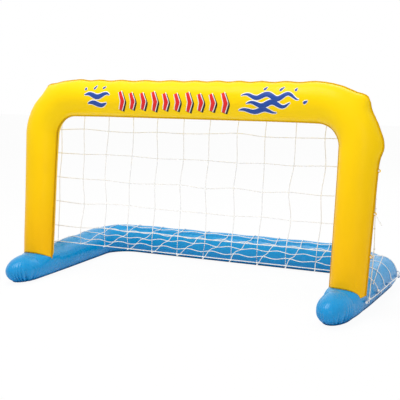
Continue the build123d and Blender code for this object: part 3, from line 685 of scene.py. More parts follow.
def tubes(lines, radius, sides=6, twist=0.0, strands=0):
    """Round tubes along several lines of equally many points: a circle carried along each line, square
    to it, turned by twist radians a metre, with soft grooves between its strands."""
    way = unit(np.gradient(lines, axis=1))
    aside = np.where(np.abs(way[..., 2:]) < 0.9, [[[0.0, 0, 1]]], [[[1.0, 0, 0]]])
    first = unit(np.cross(way, aside))
    second = np.cross(way, first)
    step = np.linalg.norm(np.diff(lines, axis=1), axis=-1)
    run = np.concatenate([np.zeros((len(lines), 1)), np.cumsum(step, 1)], 1)
    angle = np.linspace(0, 2 * pi, sides, endpoint=False)
    reach = radius * (1 - 0.16 * np.abs(np.sin(strands * angle / 2))) if strands else np.full(sides, radius)
    turned = angle + twist * run[..., None]
    around = first[:, :, None] * np.cos(turned)[..., None] + second[:, :, None] * np.sin(turned)[..., None]
    points = lines[:, :, None] + around * reach[:, None]
    count, rows = lines.shape[:2]
    place = np.arange(count * rows * sides).reshape(count, rows, sides)
    here, there = place[:, :-1], place[:, 1:]
    faces = np.stack([here, np.roll(here, -1, 2), np.roll(there, -1, 2), there], -1).reshape(-1, 4)
    ends = np.concatenate([place[:, 0, ::-1], place[:, -1]])
    uv = np.stack(np.broadcast_arrays(run[..., None], angle[None, None] * radius), -1)
    return points.reshape(-1, 3), faces, ends, uv.reshape(-1, 2)


def knots(centres, size, turn):
    """Small lumpy knots: a ball of rings and spokes at each centre, pinched where the cords cross."""
    rings = np.linspace(0, pi, 6)[:, None]
    spokes = np.linspace(0, 2 * pi, 8, endpoint=False)[None]
    lump = 1 + 0.16 * np.cos(3 * spokes + 2 * rings)
    ball = np.stack([lump * np.sin(rings) * np.cos(spokes), lump * np.sin(rings) * np.sin(spokes),
                     np.cos(rings) * np.ones_like(spokes)], -1).reshape(-1, 3)
    spin = np.stack([np.cos(turn), -np.sin(turn), np.sin(turn), np.cos(turn)], -1).reshape(-1, 2, 2)
    shape = np.repeat(ball[None] * np.asarray(size), len(centres), 0)
    shape[..., [0, 2]] = np.einsum("kij,kpj->kpi", spin, shape[..., [0, 2]])
    points = centres[:, None] + shape
    index = np.arange(len(centres) * 48).reshape(len(centres), 6, 8)
    here, there = index[:, :-1], index[:, 1:]
    faces = np.stack([here, there, np.roll(there, -1, 2), np.roll(here, -1, 2)], -1).reshape(-1, 4)
    return points.reshape(-1, 3), faces


def cord_piece(name, material, tube_sets, knot_sets=()):
    """One object from sets of tubes and of knots."""
    points, faces, uv, count = [], [], [], 0
    for tube_points, tube_faces, ends, tube_uv in tube_sets:
        points.append(tube_points)
        faces += (tube_faces + count).tolist() + (ends + count).tolist()
        uv.append(tube_uv)
        count += len(tube_points)
    for knot_points, knot_faces in knot_sets:
        points.append(knot_points)
        faces += (knot_faces + count).tolist()
        uv.append(knot_points[:, [0, 2]])
        count += len(knot_points)
    piece = mesh_piece(name, np.concatenate(points), faces, material, np.concatenate(uv))
    weld(piece, 0.000002)
    return piece


def smooth_line(points, between):
    """Soft curve through points, as whole arrays: between points, a cubic that leaves each point
    along the line of its neighbours."""
    lead, trail = points[:, :1] * 2 - points[:, 1:2], points[:, -1:] * 2 - points[:, -2:-1]
    padded = np.concatenate([lead, points, trail], 1)
    before, here, there, after = padded[:, :-3], padded[:, 1:-2], padded[:, 2:-1], padded[:, 3:]
    t = np.linspace(0, 1, between, endpoint=False)[:, None]
    curve = 0.5 * (
        2 * here[:, :, None]
        + (there - before)[:, :, None] * t
        + (2 * before - 5 * here + 4 * there - after)[:, :, None] * t**2
        + (3 * here - before - 3 * there + after)[:, :, None] * t**3
    )
    return np.concatenate([curve.reshape(len(points), -1, 3), points[:, -1:]], 1)


def evenly(line, count):
    """A line read again at equal steps of its length."""
    step = np.linalg.norm(np.diff(line, axis=0), axis=1)
    run = np.concatenate([[0], np.cumsum(step)])
    place = np.linspace(0, run[-1], count)
    return np.stack([np.interp(place, run, line[:, axis]) for axis in range(3)], 1)


def fillet_line(points, radii, step=0.004):
    """Straight runs joined by tangent arcs, as one line of close points."""
    points = [np.array(point, dtype=float) for point in points]
    line = [points[0]]
    for before, here, after, radius in zip(points, points[1:], points[2:], radii):
        come, go = unit(here - before), unit(after - here)
        turn = np.arccos(np.clip(come @ go, -1, 1))
        start = here - come * radius * tan(turn / 2)
        inward = unit(go - come * (go @ come))
        angle = np.linspace(0, turn, max(3, int(radius * turn / step)))[:, None]
        line.extend(start + come * radius * np.sin(angle) + inward * radius * (1 - np.cos(angle)))
    line.append(points[-1])
    line = np.array(line)
    total = np.linalg.norm(np.diff(line, axis=0), axis=1).sum()
    return evenly(line, int(total / step))


def net_back():
    """Knotted back panel: columns and rows through shared knots that stray a little from a slanting
    grid, tied to the head rope, the side ropes and the foot rope."""
    s = sizes()
    rng = np.random.default_rng(7)
    foot = crown_at(NET_PLANE) + GAP + s.rope / 2
    levels = np.concatenate([[s.head_height], s.head_height - s.row_pitch * (1 + np.arange(s.rows)), [foot]])
    drop = (s.head_height - levels) / (s.head_height - foot)
    tops = s.first_column + s.column_pitch * np.arange(s.columns)
    x = tops[None] - s.column_lean * drop[:, None] + rng.normal(0, 0.0034, (s.rows + 2, s.columns))
    x[1:-1] = x[1:-1] + 0.004 * np.sin(np.arange(s.rows) * 2.4)[:, None]
    z = levels[:, None] + rng.normal(0, 0.0028, x.shape)
    z[0] = s.head_height - head_drop(x[0])
    z[-1] = foot
    y = NET_PLANE + rng.normal(0, 0.0012, x.shape)
    y[[0, -1]] = NET_PLANE
    grid = np.stack([x, y, z], -1)
    columns = smooth_line(grid.transpose(1, 0, 2), 9)
    side_left = np.stack([-rope_side(z[1:-1, 0]), np.full(s.rows, NET_PLANE), z[1:-1, 0] + 0.004], -1)
    side_right = np.stack([rope_side(z[1:-1, -1]), np.full(s.rows, NET_PLANE), z[1:-1, -1] - 0.003], -1)
    rows = smooth_line(np.concatenate([side_left[:, None], grid[1:-1], side_right[:, None]], 1), 9)
    inside = grid[1:-1].reshape(-1, 3)
    ties = np.concatenate([grid[0], grid[-1], side_left, side_right])
    knot_size = np.array([0.9, 0.62, 0.9]) * s.cord
    sets = [
        knots(inside, knot_size, rng.uniform(0, pi, len(inside))),
        knots(ties, knot_size * 1.15, rng.uniform(0, pi, len(ties))),
    ]
    return cord_piece(
        "net_mesh_back",
        cord_material(),
        [tubes(lines, s.cord / 2, 9, CORD_TWIST, STRANDS) for lines in (columns, rows)],
        sets,
    )


def head_drop(x):
    """How far the border rope is below its head line, in its rounded top corners."""
    s = sizes()
    over = np.clip(np.abs(x) - (s.net_half_width - s.net_corner_radius), 0, s.net_corner_radius)
    return s.net_corner_radius - np.sqrt(s.net_corner_radius**2 - over**2)


def rope_side(z):
    """Distance of the border rope from the middle at a height."""
    s = sizes()
    over = np.clip(z - (s.head_height - s.net_corner_radius), 0, s.net_corner_radius)
    return s.net_half_width - s.net_corner_radius + np.sqrt(s.net_corner_radius**2 - over**2)


def floor_place(x, y, lift):
    """Where the laid net is, from its flat plan: level between the crown lines, and beyond them
    wrapped round the outer half of the base tube, with the length beyond the crown as arc."""
    s = sizes()
    rear, radius = rear_axis(), s.base_corner_radius
    side = np.sign(x)
    crown_x = arm_axis(np.minimum(y, rear))
    corner_x, corner_y = crown_x - radius, rear - radius
    over_x, over_y = np.abs(x) - corner_x, y - corner_y
    in_corner = (over_x > 0) & (over_y > 0)
    beside, behind = np.abs(x) - crown_x, y - rear
    away = np.where(in_corner, np.hypot(over_x, over_y) - radius, np.maximum(beside, behind))
    way_x = np.where(in_corner, over_x / np.hypot(over_x, over_y + 1e-9), beside > behind)
    way_y = np.where(in_corner, over_y / np.hypot(over_x + 1e-9, over_y), beside <= behind)
    beyond = np.clip(away, 0, None)
    bent = s.tube_half_width + lift
    angle = np.clip(beyond / bent, 0, pi / 2 - 0.03)
    flat = np.clip(beyond - bent * (pi / 2 - 0.03), 0, None)
    reach = bent * np.sin(angle) + flat
    crown = crown_at(y)
    z = SEAM + (crown - SEAM + lift) * np.cos(angle)
    out_x = side * np.where(beyond > 0, np.abs(x) + (reach - beyond) * way_x, np.abs(x))
    out_y = np.where(beyond > 0, y + (reach - beyond) * way_y, y)
    return np.stack([out_x, out_y, z], -1), away


def slack_place(x, y):
    """Where the laid net is, in soft waves where nothing carries it, and how far past the crown."""
    place, away = floor_place(x, y, GAP + sizes().cord / 2)
    place[:, 2] += np.clip(-away / 0.05, 0, 1) * (0.0035 * np.sin(x * 61 + y * 47) - 0.004)
    return place, away


def floor_lines(x, y, levels, girth):
    """The laid net's columns and rows on the flat plan, from the places of their knots."""
    s = sizes()
    plans = []
    for column in range(s.floor_columns):
        end_y = rear_axis() + girth
        end = [x[-1, column] - s.floor_lean * (end_y - levels[-1]), end_y]
        plans.append(np.vstack([np.column_stack([x[:, column], y[:, column]]), end]))
    ends = 0.76
    for row in range(1, s.floor_rows + 1):
        plan = np.column_stack([x[row], y[row]])
        plan = plan[np.abs(plan[:, 0]) < ends]
        plans.append(np.vstack([[-ends, plan[0, 1]], plan, [ends, plan[-1, 1]]]))
    lines = [plan_line(plan, girth) for plan in plans]
    return [line for line in lines if line is not None]


def net_floor():
    """Laid net: slanting columns and cross rows through knots, slack over the base's well and lying
    on the tube, down to the rim rope."""
    s = sizes()
    rng = np.random.default_rng(11)
    girth = s.tube_half_width * pi / 2 + s.rim_reach - 0.001
    fronts = s.first_column - s.column_lean + s.column_pitch * np.arange(s.floor_columns)
    levels = NET_PLANE + s.floor_row_pitch * np.arange(s.floor_rows + 1)
    behind = (np.arange(s.floor_rows + 1) > 0)[:, None]
    x = fronts[None] - s.floor_lean * (levels - NET_PLANE)[:, None]
    x = x + rng.normal(0, 0.005, x.shape) * behind
    y = levels[:, None] + rng.normal(0, 0.005, x.shape) * behind
    laid = []
    for line in floor_lines(x, y, levels, girth):
        place, _ = slack_place(line[:, 0], line[:, 1])
        laid.append(evenly(settled(place), 110))
    laid = np.array(laid)
    centres, away = slack_place(x[1:].ravel(), y[1:].ravel())
    centres = settled(centres[away < girth - 0.004])
    knot_size = np.array([0.9, 0.9, 0.6]) * s.cord
    ties = laid[:, [0, -1]].reshape(-1, 3)
    return cord_piece(
        "net_mesh_floor",
        cord_material(),
        [tubes(laid, s.cord / 2, 9, CORD_TWIST, STRANDS)],
        [
            knots(centres, knot_size, rng.uniform(0, pi, len(centres))),
            knots(ties, knot_size * 1.1, rng.uniform(0, pi, len(ties))),
        ],
    )


def plan_line(plan, girth):
    """Soft line through a cord's knots on the flat plan, cut where it reaches the rim rope."""
    flat = np.column_stack([plan, np.zeros(len(plan))])[None]
    line = smooth_line(flat, 30)[0]
    _, away = floor_place(line[:, 0], line[:, 1], 0.002)
    keep = (away < girth) & (line[:, 1] > NET_PLANE - 0.0001)
    return evenly(line[keep], 160) if keep.sum() > 12 else None


def route_border():
    """Border rope: from the knot beside the left foot, up, over the head and down again."""
    s = sizes()
    foot_y = s.goal_line + s.rope_start
    foot_x = arm_axis(foot_y) + s.tube_half_width + s.rim_reach
    foot_z, bend = 0.061, 0.060
    turns = [(s.net_half_width, NET_PLANE, height) for height in (s.rope_turn, s.head_height)]
    half = [(foot_x, foot_y, foot_z), *turns]
    left = [(-x, y, z) for x, y, z in half]
    return fillet_line(left + half[::-1], [bend, s.net_corner_radius, s.net_corner_radius, bend])


def route_foot():
    """Foot rope: over both arms' crowns, with a tight straight stretch between them."""
    s = sizes()
    crown_x = arm_axis(NET_PLANE)
    rise = crown_at(NET_PLANE) + GAP + s.rope / 2 - SEAM
    drop = s.tube_half_width + s.rim_reach
    angle = np.linspace(np.arcsin(0.014 / rise), pi / 2, 24)
    x, z = crown_x + drop * np.cos(angle), SEAM + rise * np.sin(angle)
    right = np.column_stack([x, np.full(24, NET_PLANE), z])
    left = right * [-1, 1, 1]
    return evenly(np.vstack([left, right[::-1]]), 420)


def route_rim():
    """Rim rope round the outside of the base."""
    s = sizes()
    reach = s.tube_half_width + s.rim_reach
    start_y = s.goal_line + s.rope_start - 0.0159
    rear = rear_axis() + reach
    z = SEAM + 0.0008 + 0.001 + GAP + s.rope / 2
    half = [(arm_axis(start_y) + reach, start_y, z), (arm_axis(rear) + reach, rear, z)]
    left = [(-x, y, level) for x, y, level in half]
    return settled(fillet_line(left + half[::-1], [s.base_corner_radius + reach] * 2))


def tab_frames(side):
    """Places of the tabs' middles on the tube's axis, with the ways out and along, for the left arm
    (-1), the right arm (1) or the rear tube (0)."""
    s = sizes()
    across, behind = np.array([1.0, 0, 0]), np.array([0, 1.0, 0])
    if side:
        y = s.goal_line + s.rope_start + s.arm_tab_pitch * np.arange(4)
        return [(np.array([side * arm_axis(place), place, SEAM]), side * across, behind) for place in y]
    x = s.rear_tab_pitch * (np.arange(6) - 2.5)
    return [(np.array([place, rear_axis(), SEAM]), behind, across) for place in x]


def tab_piece(name, side, material):
    """Welded tabs: each a small sheet with rounded corners round its punched hole, hanging a little at
    its outer edge."""
    s = sizes()
    share = np.linspace(0, 1, 7)[:, None]
    angle = np.linspace(0, 2 * pi, 49)
    half = np.array([s.tab_reach / 2, s.tab_width / 2])
    outline = (np.abs(np.cos(angle) / half[0]) ** 7 + np.abs(np.sin(angle) / half[1]) ** 7) ** (-1 / 7)
    hole, radius = s.rim_reach - s.loop_radius, 0.0019
    out = (1 - share) * (hole + radius * np.cos(angle)) + share * (half[0] + outline * np.cos(angle))
    aside = ((1 - share) * radius + share * outline) * np.sin(angle)
    points = []
    for index, (place, outward, along) in enumerate(tab_frames(side)):
        sag = 0.0012 * (out / s.tab_reach) ** 2 + 0.0007 * np.sin(aside / 0.005 + index * 2.1)
        tab = place + outward * (s.tube_half_width + out)[..., None] + along * aside[..., None]
        points.append(tab + UP * (0.0018 - sag)[..., None])
    points = settled(np.array(points))
    faces = np.concatenate([grid_faces(7, 49) + 7 * 49 * index for index in range(len(points))])
    # Darkens the whole tab, more towards its outer edge.
    weld_and_painted_shade = np.tile(0.35 + 0.3 * share * np.ones_like(angle), (len(points), 1))
    piece = mesh_piece(name, points, faces, material, points[..., :2], ("weld_and_painted_shade", weld_and_painted_shade))
    weld(piece)
    return thicken(piece, 0.001)


def loop_piece(name, side, stands_for):
    """Cord loops: each wound twice through a tab's hole and round the rim rope, with its knot above."""
    s = sizes()
    turn = np.linspace(0.3, 4 * pi + 0.5, 60)[:, None]
    lines = []
    for place, outward, along in tab_frames(side):
        middle = place + outward * (s.tube_half_width + s.rim_reach) + np.array([0, 0, 0.00195])
        ring = outward * np.cos(turn) + UP * np.sin(turn)
        lines.append(middle + ring * s.loop_radius + along * 0.0024 * (turn / (4 * pi) - 0.5))
    lines = settled(np.array(lines))
    tie_piece(name, lines, lines[:, 4], 0.0021, stands_for)


def lashing_piece(name, side, stands_for):
    """Lashings of a post: each a cord from its knot before the post's ear back to the border rope, and
    wound once and a half round it."""
    s = sizes()
    up, ahead = arch_axes()
    knot_radius, ear_hole = 0.0032, 0.00975
    lines = []
    for along in s.post_tie_first + s.post_tie_pitch * np.arange(3):
        share = (along + s.post_overrun) / (crossbar_along() + s.post_overrun)
        axis = s.foot_spacing / 2 + share * (s.post_spacing - s.foot_spacing) / 2
        leg = (along + s.post_overrun) / (crossbar_along() - s.arch_corner_radius + s.post_overrun)
        half_width = s.foot_half_width + min(1, leg) * (s.arch_half_width - s.foot_half_width)
        start = np.array([side * (axis + half_width + ear_hole), s.goal_line, s.arch_axis_start])
        start = start + up * along - ahead * (s.film - knot_radius)
        rope = np.array([side * s.net_half_width, NET_PLANE, start[2]])
        radius = s.rope / 2 + s.tie_cord / 2 + GAP
        way = unit((start - rope) * [1, 1, 0])
        aside = np.array([-way[1], way[0], 0])
        turn = np.linspace(0, 3 * pi, 40)[:, None]
        wound = rope + (way * np.cos(turn) + aside * np.sin(turn)) * radius
        wound = wound + UP * 0.0030 * (turn / (3 * pi) - 0.3)
        straight = start + (wound[0] - start) * np.linspace(0, 1, 20)[:, None]
        straight = straight - np.array([0, 0, 0.0022]) * np.sin(np.linspace(0, pi, 20))[:, None]
        lines.append(evenly(np.vstack([straight[:-1], wound]), 90))
    lines = np.array(lines)
    tie_piece(name, lines, lines[:, 0], knot_radius, stands_for)


def tie_piece(name, lines, seats, knot_radius, stands_for):
    """Twisted thin cord along lines, with a wound knot at each seat."""
    strands = tubes(lines, sizes().tie_cord / 2, 9, TIE_TWIST, STRANDS)
    bound = knots(seats, np.full(3, knot_radius), np.linspace(0.2, 2.6, len(seats)))
    dress(cord_piece(name, cord_material(), [strands], [bound]), "net_cord", stands_for)


def loose_end():
    """Loose end of the middle lashing on the right post: a limp cord along its own spline."""
    s = sizes()
    start = Vector((0.6993, -0.1943, 0.3382))
    data = bpy.data.curves.new("loose_end", "CURVE")
    data.dimensions = "3D"
    spline = data.splines.new("NURBS")
    route = ((0, 0, 0), (0.008, -0.003, -0.008), (0.015, -0.002, -0.021), (0.022, 0.003, -0.034))
    spline.points.add(len(route) - 1)
    for point, place in zip(spline.points, route):
        point.co = (*(start + Vector(place)), 1)
    spline.order_u = 3
    spline.use_endpoint_u = True
    spline.resolution_u = 12
    data.bevel_depth = s.tail_cord / 2
    data.bevel_resolution = 4
    data.use_fill_caps = True
    data.materials.append(cord_material())
    piece = bpy.data.objects.new("loose_end", data)
    bpy.context.scene.collection.objects.link(piece)
    dress(piece, "net_cord", "right_lashing_tail")


def laid_rope(name, route, stands_for, knot_radius=0.0046):
    """Twisted rope along a route, with a wound knot at each end."""
    s = sizes()
    ends = route[[0, -1]]
    rope = cord_piece(
        name,
        cord_material(),
        [tubes(route[None], s.rope / 2, 15, ROPE_TWIST, STRANDS)],
        [knots(ends, np.full(3, knot_radius), np.array([0.4, 1.3]))],
    )
    dress(rope, "net_rope", stands_for)


# Materials


class Look:
    """The node tree of a material or a world, with short ways to add its nodes."""

    def __init__(self, owner):
        owner.use_nodes = True
        self.owner = owner
        self.nodes, self.links = owner.node_tree.nodes, owner.node_tree.links

    def add(self, kind):
        """New node of a kind."""
        return self.nodes.new("ShaderNode" + kind)

    def link(self, output, node, name):
        """Joins an output to a node's named socket."""
        self.links.new(output, node.inputs[name])

    def spot(self):
        """Place on the object, in metres."""
        return self.add("TexCoord").outputs["Object"]

    def noise(self, vector, scale, detail=3.0):
        """Soft random shares, scale of them to the metre."""
        texture = self.add("TexNoise")
        texture.inputs["Scale"].default_value = scale
        texture.inputs["Detail"].default_value = detail
        self.link(vector, texture, "Vector")
        return texture.outputs["Fac"]

    def math(self, operation, first, second=0):
        """Result of one operation on outputs or numbers."""
        node = self.add("Math")
        node.operation = operation
        for socket, value in zip(node.inputs, (first, second)):
            if isinstance(value, (int, float)):
                socket.default_value = value
            else:
                self.links.new(value, socket)
        return node.outputs[0]

    def ramp(self, value, *stops):
        """Colours that blend from the first stop to the last as the value rises."""
        node = self.add("ValToRGB")
        for stop, (place, tint) in zip(node.color_ramp.elements, stops):
            stop.position = place
            stop.color = tint
        self.link(value, node, "Fac")
        return node.outputs["Color"]

    def apart(self, vector):
        """The three parts of a vector."""
        node = self.add("SeparateXYZ")
        self.link(vector, node, "Vector")
        return node.outputs

    def bump(self, height, strength, distance):
        """Relief of the given depth on the surface."""
        node = self.add("Bump")
        node.inputs["Strength"].default_value = strength
        node.inputs["Distance"].default_value = distance
        self.link(height, node, "Height")
        self.link(node.outputs["Normal"], self.face(), "Normal")

    def face(self):
        """The surface's own node."""
        return self.nodes["Principled BSDF"]

    def set(self, **values):
        """Values of the surface's own sockets, with spaces for the underscores."""
        for name, value in values.items():
            self.face().inputs[name.replace("_", " ")].default_value = value

    def seen_rays(self, *kinds):
        """1 for the named kinds of ray, 0 for all others."""
        path = self.add("LightPath")
        seen = path.outputs[f"Is {kinds[0]} Ray"]
        for kind in kinds[1:]:
            seen = self.math("MAXIMUM", seen, path.outputs[f"Is {kind} Ray"])
        return seen

    def blend(self, share, first, second, end):
        """Mix of two shaders, to the tree's end."""
        node = self.add("MixShader")
        self.link(share, node, "Fac")
        self.links.new(first.outputs[0], node.inputs[1])
        self.links.new(second.outputs[0], node.inputs[2])
        self.link(node.outputs[0], self.nodes[end], "Surface")


def look_named(name, base, roughness):
    """A material of one colour and roughness to start from."""
    look = Look(bpy.data.materials.new(name))
    look.set(Base_Color=base, Roughness=roughness)
    return look


def shade(base, factor):
    """A colour made darker."""
    return (base[0] * factor, base[1] * factor, base[2] * factor, 1)


def vinyl_material(name, base, deep, roughness, gloss):
    """Soft film with air behind it: its tint is painted darker towards the floor, as shade, and varies in a
    low cloud; fine orange peel, shallow pull lines, a darker, ribbed weld lip, and painted shade in the
    puckers' valleys, the pinched fold and the posts' feet, where the piece's weld and shade attribute says
    so."""
    look = look_named(name, base, roughness)
    spot = look.spot()
    weld_and_painted_shade = look.add("Attribute")
    weld_and_painted_shade.attribute_name = "weld_and_painted_shade"
    # Painted shade: the tint turns darker towards the floor, by the height on the object, in place of light
    # from above; the low cloud is random tone.
    full_height = GOAL_TOP if base[0] > 0.5 else CROWN
    rise = look.math("DIVIDE", look.apart(spot)["Z"], full_height)
    cloud = look.math("MULTIPLY", look.noise(spot, 4.0), 0.35)
    tint = look.ramp(look.math("ADD", rise, cloud), (0.18, deep), (1.08, base))
    mix = look.add("Mix")
    mix.data_type = "RGBA"
    # The weld lips are darker in their own colour; the same attribute also darkens the puckers' valleys, the
    # pinched fold and the posts' feet, as painted shade.
    look.link(look.math("MULTIPLY", weld_and_painted_shade.outputs["Fac"], 0.6), mix, "Factor")
    look.link(tint, mix, "A")
    mix.inputs["B"].default_value = shade(deep, 0.55)
    look.link(mix.outputs["Result"], look.face(), "Base Color")
    low, high = (roughness * 0.8,) * 3 + (1,), (roughness * 1.35,) * 3 + (1,)
    look.link(look.ramp(look.noise(spot, 38.0, 4.0), (0.35, low), (0.7, high)), look.face(), "Roughness")
    run = look.add("UVMap")
    run.uv_map = "run"
    rib_pitch = 0.0022
    ribs = look.math("SINE", look.math("MULTIPLY", look.apart(run.outputs["UV"])["X"], 2 * pi / rib_pitch))
    ribs = look.math("MULTIPLY", look.math("MULTIPLY", ribs, weld_and_painted_shade.outputs["Fac"]), 0.25)
    pull = look.math("MULTIPLY", look.noise(spot, 13.0, 1.5), 2.0)
    peel = look.math("MULTIPLY", look.noise(spot, 420.0, 2.0), 0.03)
    look.bump(look.math("ADD", look.math("ADD", pull, peel), ribs), 0.3, 0.0012)
    look.set(Specular_IOR_Level=gloss, Coat_Weight=gloss * 0.25, Coat_Roughness=0.1)
    return look.owner


def ink_material(name, base):
    """Screen-printed ink: nearly even, a little thin here and there, less glossy than the film."""
    look = look_named(name, base, 0.42)
    spot = look.spot()
    thin = tuple(min(1, part * 1.12 + 0.01) for part in base[:3]) + (1,)
    look.link(look.ramp(look.noise(spot, 60.0), (0.35, base), (0.8, thin)), look.face(), "Base Color")
    look.bump(look.noise(spot, 700.0), 0.15, 0.0002)
    look.set(Specular_IOR_Level=0.3)
    return look.owner


def cord_material():
    """White polyester cord: fine fibres, and faint greying here and there."""
    made = bpy.data.materials.get("white_cord")
    if made is not None:
        return made
    base = tuple(colours().cord)
    look = look_named("white_cord", base, 0.62)
    spot = look.spot()
    tint = look.ramp(look.noise(spot, 900.0), (0.3, shade(base, 0.92)), (0.65, base))
    look.link(tint, look.face(), "Base Color")
    look.bump(look.noise(spot, 1500.0), 0.4, 0.0003)
    look.set(Sheen_Weight=0.25)
    return look.owner


def clear_vinyl_material():
    """Milky soft vinyl of the valves."""
    base = tuple(colours().valve)
    look = look_named("clear_valve_vinyl", base, 0.25)
    spot = look.spot()
    tint = look.ramp(look.noise(spot, 240.0), (0.3, shade(base, 0.9)), (0.6, base))
    look.link(tint, look.face(), "Base Color")
    look.bump(look.noise(spot, 600.0), 0.2, 0.0004)
    look.set(Coat_Weight=0.4, Transmission_Weight=0.25, IOR=1.5)
    return look.owner


# Operators, one for each group of like pieces


class GOAL_OT_stage(bpy.types.Operator):
    """Pale floor, soft lights and the camera"""

    bl_idname = "goal.stage"
    bl_label = "Stage"

    def execute(self, context):
        context.scene.world = bpy.data.worlds.new("studio")
        sky = Look(context.scene.world)
        backdrop = sky.add("Background")
        for background, strength in ((sky.nodes["Background"], 0.62), (backdrop, 1.0)):
            background.inputs["Color"].default_value = (1, 1, 1, 1)
            background.inputs["Strength"].default_value = strength
        seen = sky.seen_rays("Camera", "Glossy", "Transmission")
        sky.blend(seen, sky.nodes["Background"], backdrop, "World Output")

        floor_look = look_named("studio_floor", (0.9, 0.9, 0.9, 1), 0.9)
        glow = floor_look.add("Emission")
        glow.inputs["Strength"].default_value = 1.0
        seen = floor_look.math("MULTIPLY", floor_look.seen_rays("Camera", "Transmission"), 0.94)
        floor_look.blend(seen, floor_look.face(), glow, "Material Output")
        spread = np.array([[-9.0, -9.0, 0], [9.0, -9.0, 0], [9.0, 9.0, 0], [-9.0, 9.0, 0]])
        floor = mesh_piece("studio_floor", spread, np.array([[0, 1, 2, 3]]), floor_look.owner)
        floor.location.z = -0.0004

        for name, place, size, power, aim in (
            ("key", (-0.4, -0.9, 3.2), 2.2, 58.0, (0, 0, 0.3)),
            ("fill", (2.4, -3.0, 1.5), 2.0, 12.0, (0, 0, 0.3)),
            ("back", (0.6, 2.6, 2.4), 2.4, 20.0, (0, 0, 0.3)),
        ):
            data = bpy.data.lights.new(name, "AREA")
            data.shape = "DISK"
            data.size = size
            data.energy = power
            lamp = bpy.data.objects.new(name, data)
            lamp.location = place
            lamp.rotation_euler = (Vector(aim) - Vector(place)).to_track_quat("-Z", "Y").to_euler()
            context.scene.collection.objects.link(lamp)

        data = bpy.data.cameras.new("camera")
        data.sensor_width = 36
        data.lens = 76.38
        camera = bpy.data.objects.new("camera", data)
        camera.location = (1.387, -2.867, 0.8095)
        camera.rotation_euler = (radians(90 - 8.89), 0, radians(26.27))
        context.scene.collection.objects.link(camera)
        context.scene.camera = camera
        context.scene.view_settings.view_transform = "Standard"
        return {"FINISHED"}


class GOAL_OT_vinyl(bpy.types.Operator):
    """Arch and base sheets with their puckers and weld lips"""

    bl_idname = "goal.vinyl"
    bl_label = "Vinyl sheets"

    def execute(self, context):
        c = colours()
        # Tints that the films darken to towards the floor, as painted shade; the weld lips take a darker
        # share of them.
        painted_shade_yellow = (c.yellow[0] * 0.93, c.yellow[1] * 0.70, c.yellow[2], 1)
        painted_shade_blue = (c.blue[0] * 0.8, c.blue[1] * 0.80, c.blue[2] * 0.90, 1)
        yellow = vinyl_material("yellow_vinyl_film", tuple(c.yellow), painted_shade_yellow, 0.36, 0.11)
        blue = vinyl_material("blue_vinyl_film", tuple(c.blue), painted_shade_blue, 0.28, 0.30)
        for node, piece, slot in (
            ("arch_front_sheet", arch_sheet("arch_front", True, yellow), "yellow_vinyl"),
            ("arch_back_sheet", arch_sheet("arch_back", False, yellow), "yellow_vinyl"),
            ("left_post_end_panel", foot_lip("left_foot_panel", -1, yellow), "yellow_vinyl"),
            ("right_post_end_panel", foot_lip("right_foot_panel", 1, yellow), "yellow_vinyl"),
            ("base_top_sheet", base_sheet("base_top", True, blue), "blue_vinyl"),
            ("base_bottom_sheet", base_sheet("base_bottom", False, blue), "blue_vinyl"),
        ):
            dress(piece, slot, node)
            if node in VALVED:
                seated(piece, node, VALVED[node])
        paint(("crossbar_net_ears", "left_post_ears", "right_post_ears"), yellow)
        for name, side in {**SIDES, "rear": 0}.items():
            dress(tab_piece(name + "_tabs", side, blue), "blue_vinyl", name + "_rim_tabs")
        return {"FINISHED"}


class GOAL_OT_print(bpy.types.Operator):
    """Red arrowheads and blue water lines on the crossbar's front"""

    bl_idname = "goal.print"
    bl_label = "Print"

    def execute(self, context):
        c = colours()
        red, blue, white, black = (
            ink_material(name, tuple(base))
            for name, base in (
                ("red_ink", c.red), ("blue_ink", c.ink_blue), ("white_ink", c.white), ("black_ink", c.black),
            )
        )
        middles = -0.258 + 0.046 * np.arange(10)
        heights = 0.029 + 0.003 * np.cos(2.1 * np.arange(len(middles)))
        level, shadow_shift = np.array([0, -0.012]), np.array([0.004, -0.004])
        marks = [arrowhead(middle, height) + level for middle, height in zip(middles, heights)]
        taper = 0.0080 * (1 - 0.35 * np.abs(np.linspace(-1, 1, 41)))
        shadow = [ribbon(mark + shadow_shift, taper + 0.0045) for mark in marks]
        edge = [ribbon(mark, taper + 0.0028) for mark in marks]
        face = [ribbon(mark, taper) for mark in marks]
        waves = [
            swell_line(start, end, rise, (end - start) / 0.075) + np.array([0, height])
            for start, end, height, rise in WATER_WAVES
        ]
        drops = [drop_line(*drop) for drop in WATER_DROPS]
        thick = 0.0082 * np.sin(pi * np.linspace(0, 1, 61)) ** 0.7 + 0.0003
        tear = np.linspace(0, 1, 21)
        plump = 0.0052 * np.sqrt(np.clip(4 * (tear + 0.03) * (1 - tear) ** 2, 0, None)) + 0.0002
        blue_edge, blue_face = (
            [ribbon(wave, thick + rim) for wave in waves] + [ribbon(drop, plump + drop_rim) for drop in drops]
            for rim, drop_rim in ((0.0022, 0.0018), (0, 0))
        )
        for name, strips, lift, look in (
            ("print_shadow", shadow, 0.00012, black),
            ("print_edge", edge, 0.00024, white),
            ("print_red", face, 0.00036, red),
            ("print_water_edge", blue_edge, 0.00012, white),
            ("print_water", blue_face, 0.00024, blue),
        ):
            dress(printed(name, strips, lift, look), "yellow_vinyl")
        return {"FINISHED"}


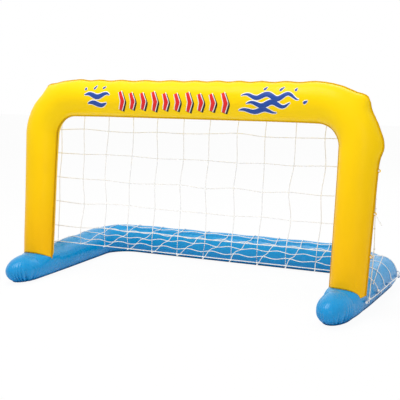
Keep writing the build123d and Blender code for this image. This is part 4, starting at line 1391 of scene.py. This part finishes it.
class GOAL_OT_net(bpy.types.Operator):
    """Knotted net panels"""

    bl_idname = "goal.net"
    bl_label = "Net"

    def execute(self, context):
        dress(net_back(), "net_cord", "net_back_panel")
        dress(net_floor(), "net_cord", "net_floor_panel", "net_rim_skirt")
        return {"FINISHED"}


class GOAL_OT_ropes(bpy.types.Operator):
    """Border, foot and rim ropes, loops and lashings"""

    bl_idname = "goal.ropes"
    bl_label = "Ropes"

    def execute(self, context):
        laid_rope("border_rope", route_border(), "net_border_rope")
        laid_rope("foot_rope_laid", route_foot(), "foot_rope")
        laid_rope("rim_rope", route_rim(), "base_rim_rope")
        loose_end()
        for name, side in {**SIDES, "rear": 0}.items():
            loop_piece(name + "_loops", side, name + "_rim_loops")
        for name, side in SIDES.items():
            lashing_piece(name + "_lashings", side, name + "_post_lashings")
        return {"FINISHED"}


class GOAL_OT_valves(bpy.types.Operator):
    """Finish of the two air valves"""

    bl_idname = "goal.valves"
    bl_label = "Valves"

    def execute(self, context):
        paint([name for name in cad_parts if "valve" in name], clear_vinyl_material())
        return {"FINISHED"}


class GOAL_PT_panel(bpy.types.Panel):
    """Lists the goal's steps"""

    bl_label = "Pool goal"
    bl_idname = "GOAL_PT_panel"
    bl_space_type = "VIEW_3D"
    bl_region_type = "UI"
    bl_category = "Pool goal"

    def draw(self, context):
        for step in OPERATORS:
            self.layout.operator(step.bl_idname)


OPERATORS = (GOAL_OT_stage, GOAL_OT_vinyl, GOAL_OT_print, GOAL_OT_net, GOAL_OT_ropes, GOAL_OT_valves)
CLASSES = (GoalSizes, GoalColours, *OPERATORS, GOAL_PT_panel)


def register():
    for kind in CLASSES:
        bpy.utils.register_class(kind)
    bpy.types.Scene.goal_sizes = PointerProperty(type=GoalSizes)
    bpy.types.Scene.goal_colours = PointerProperty(type=GoalColours)


def unregister():
    del bpy.types.Scene.goal_colours
    del bpy.types.Scene.goal_sizes
    for kind in reversed(CLASSES):
        bpy.utils.unregister_class(kind)


def main():
    register()
    for step in OPERATORS:
        group, name = step.bl_idname.split(".")
        getattr(getattr(bpy.ops, group), name)()


if __name__ == "__main__":
    main()
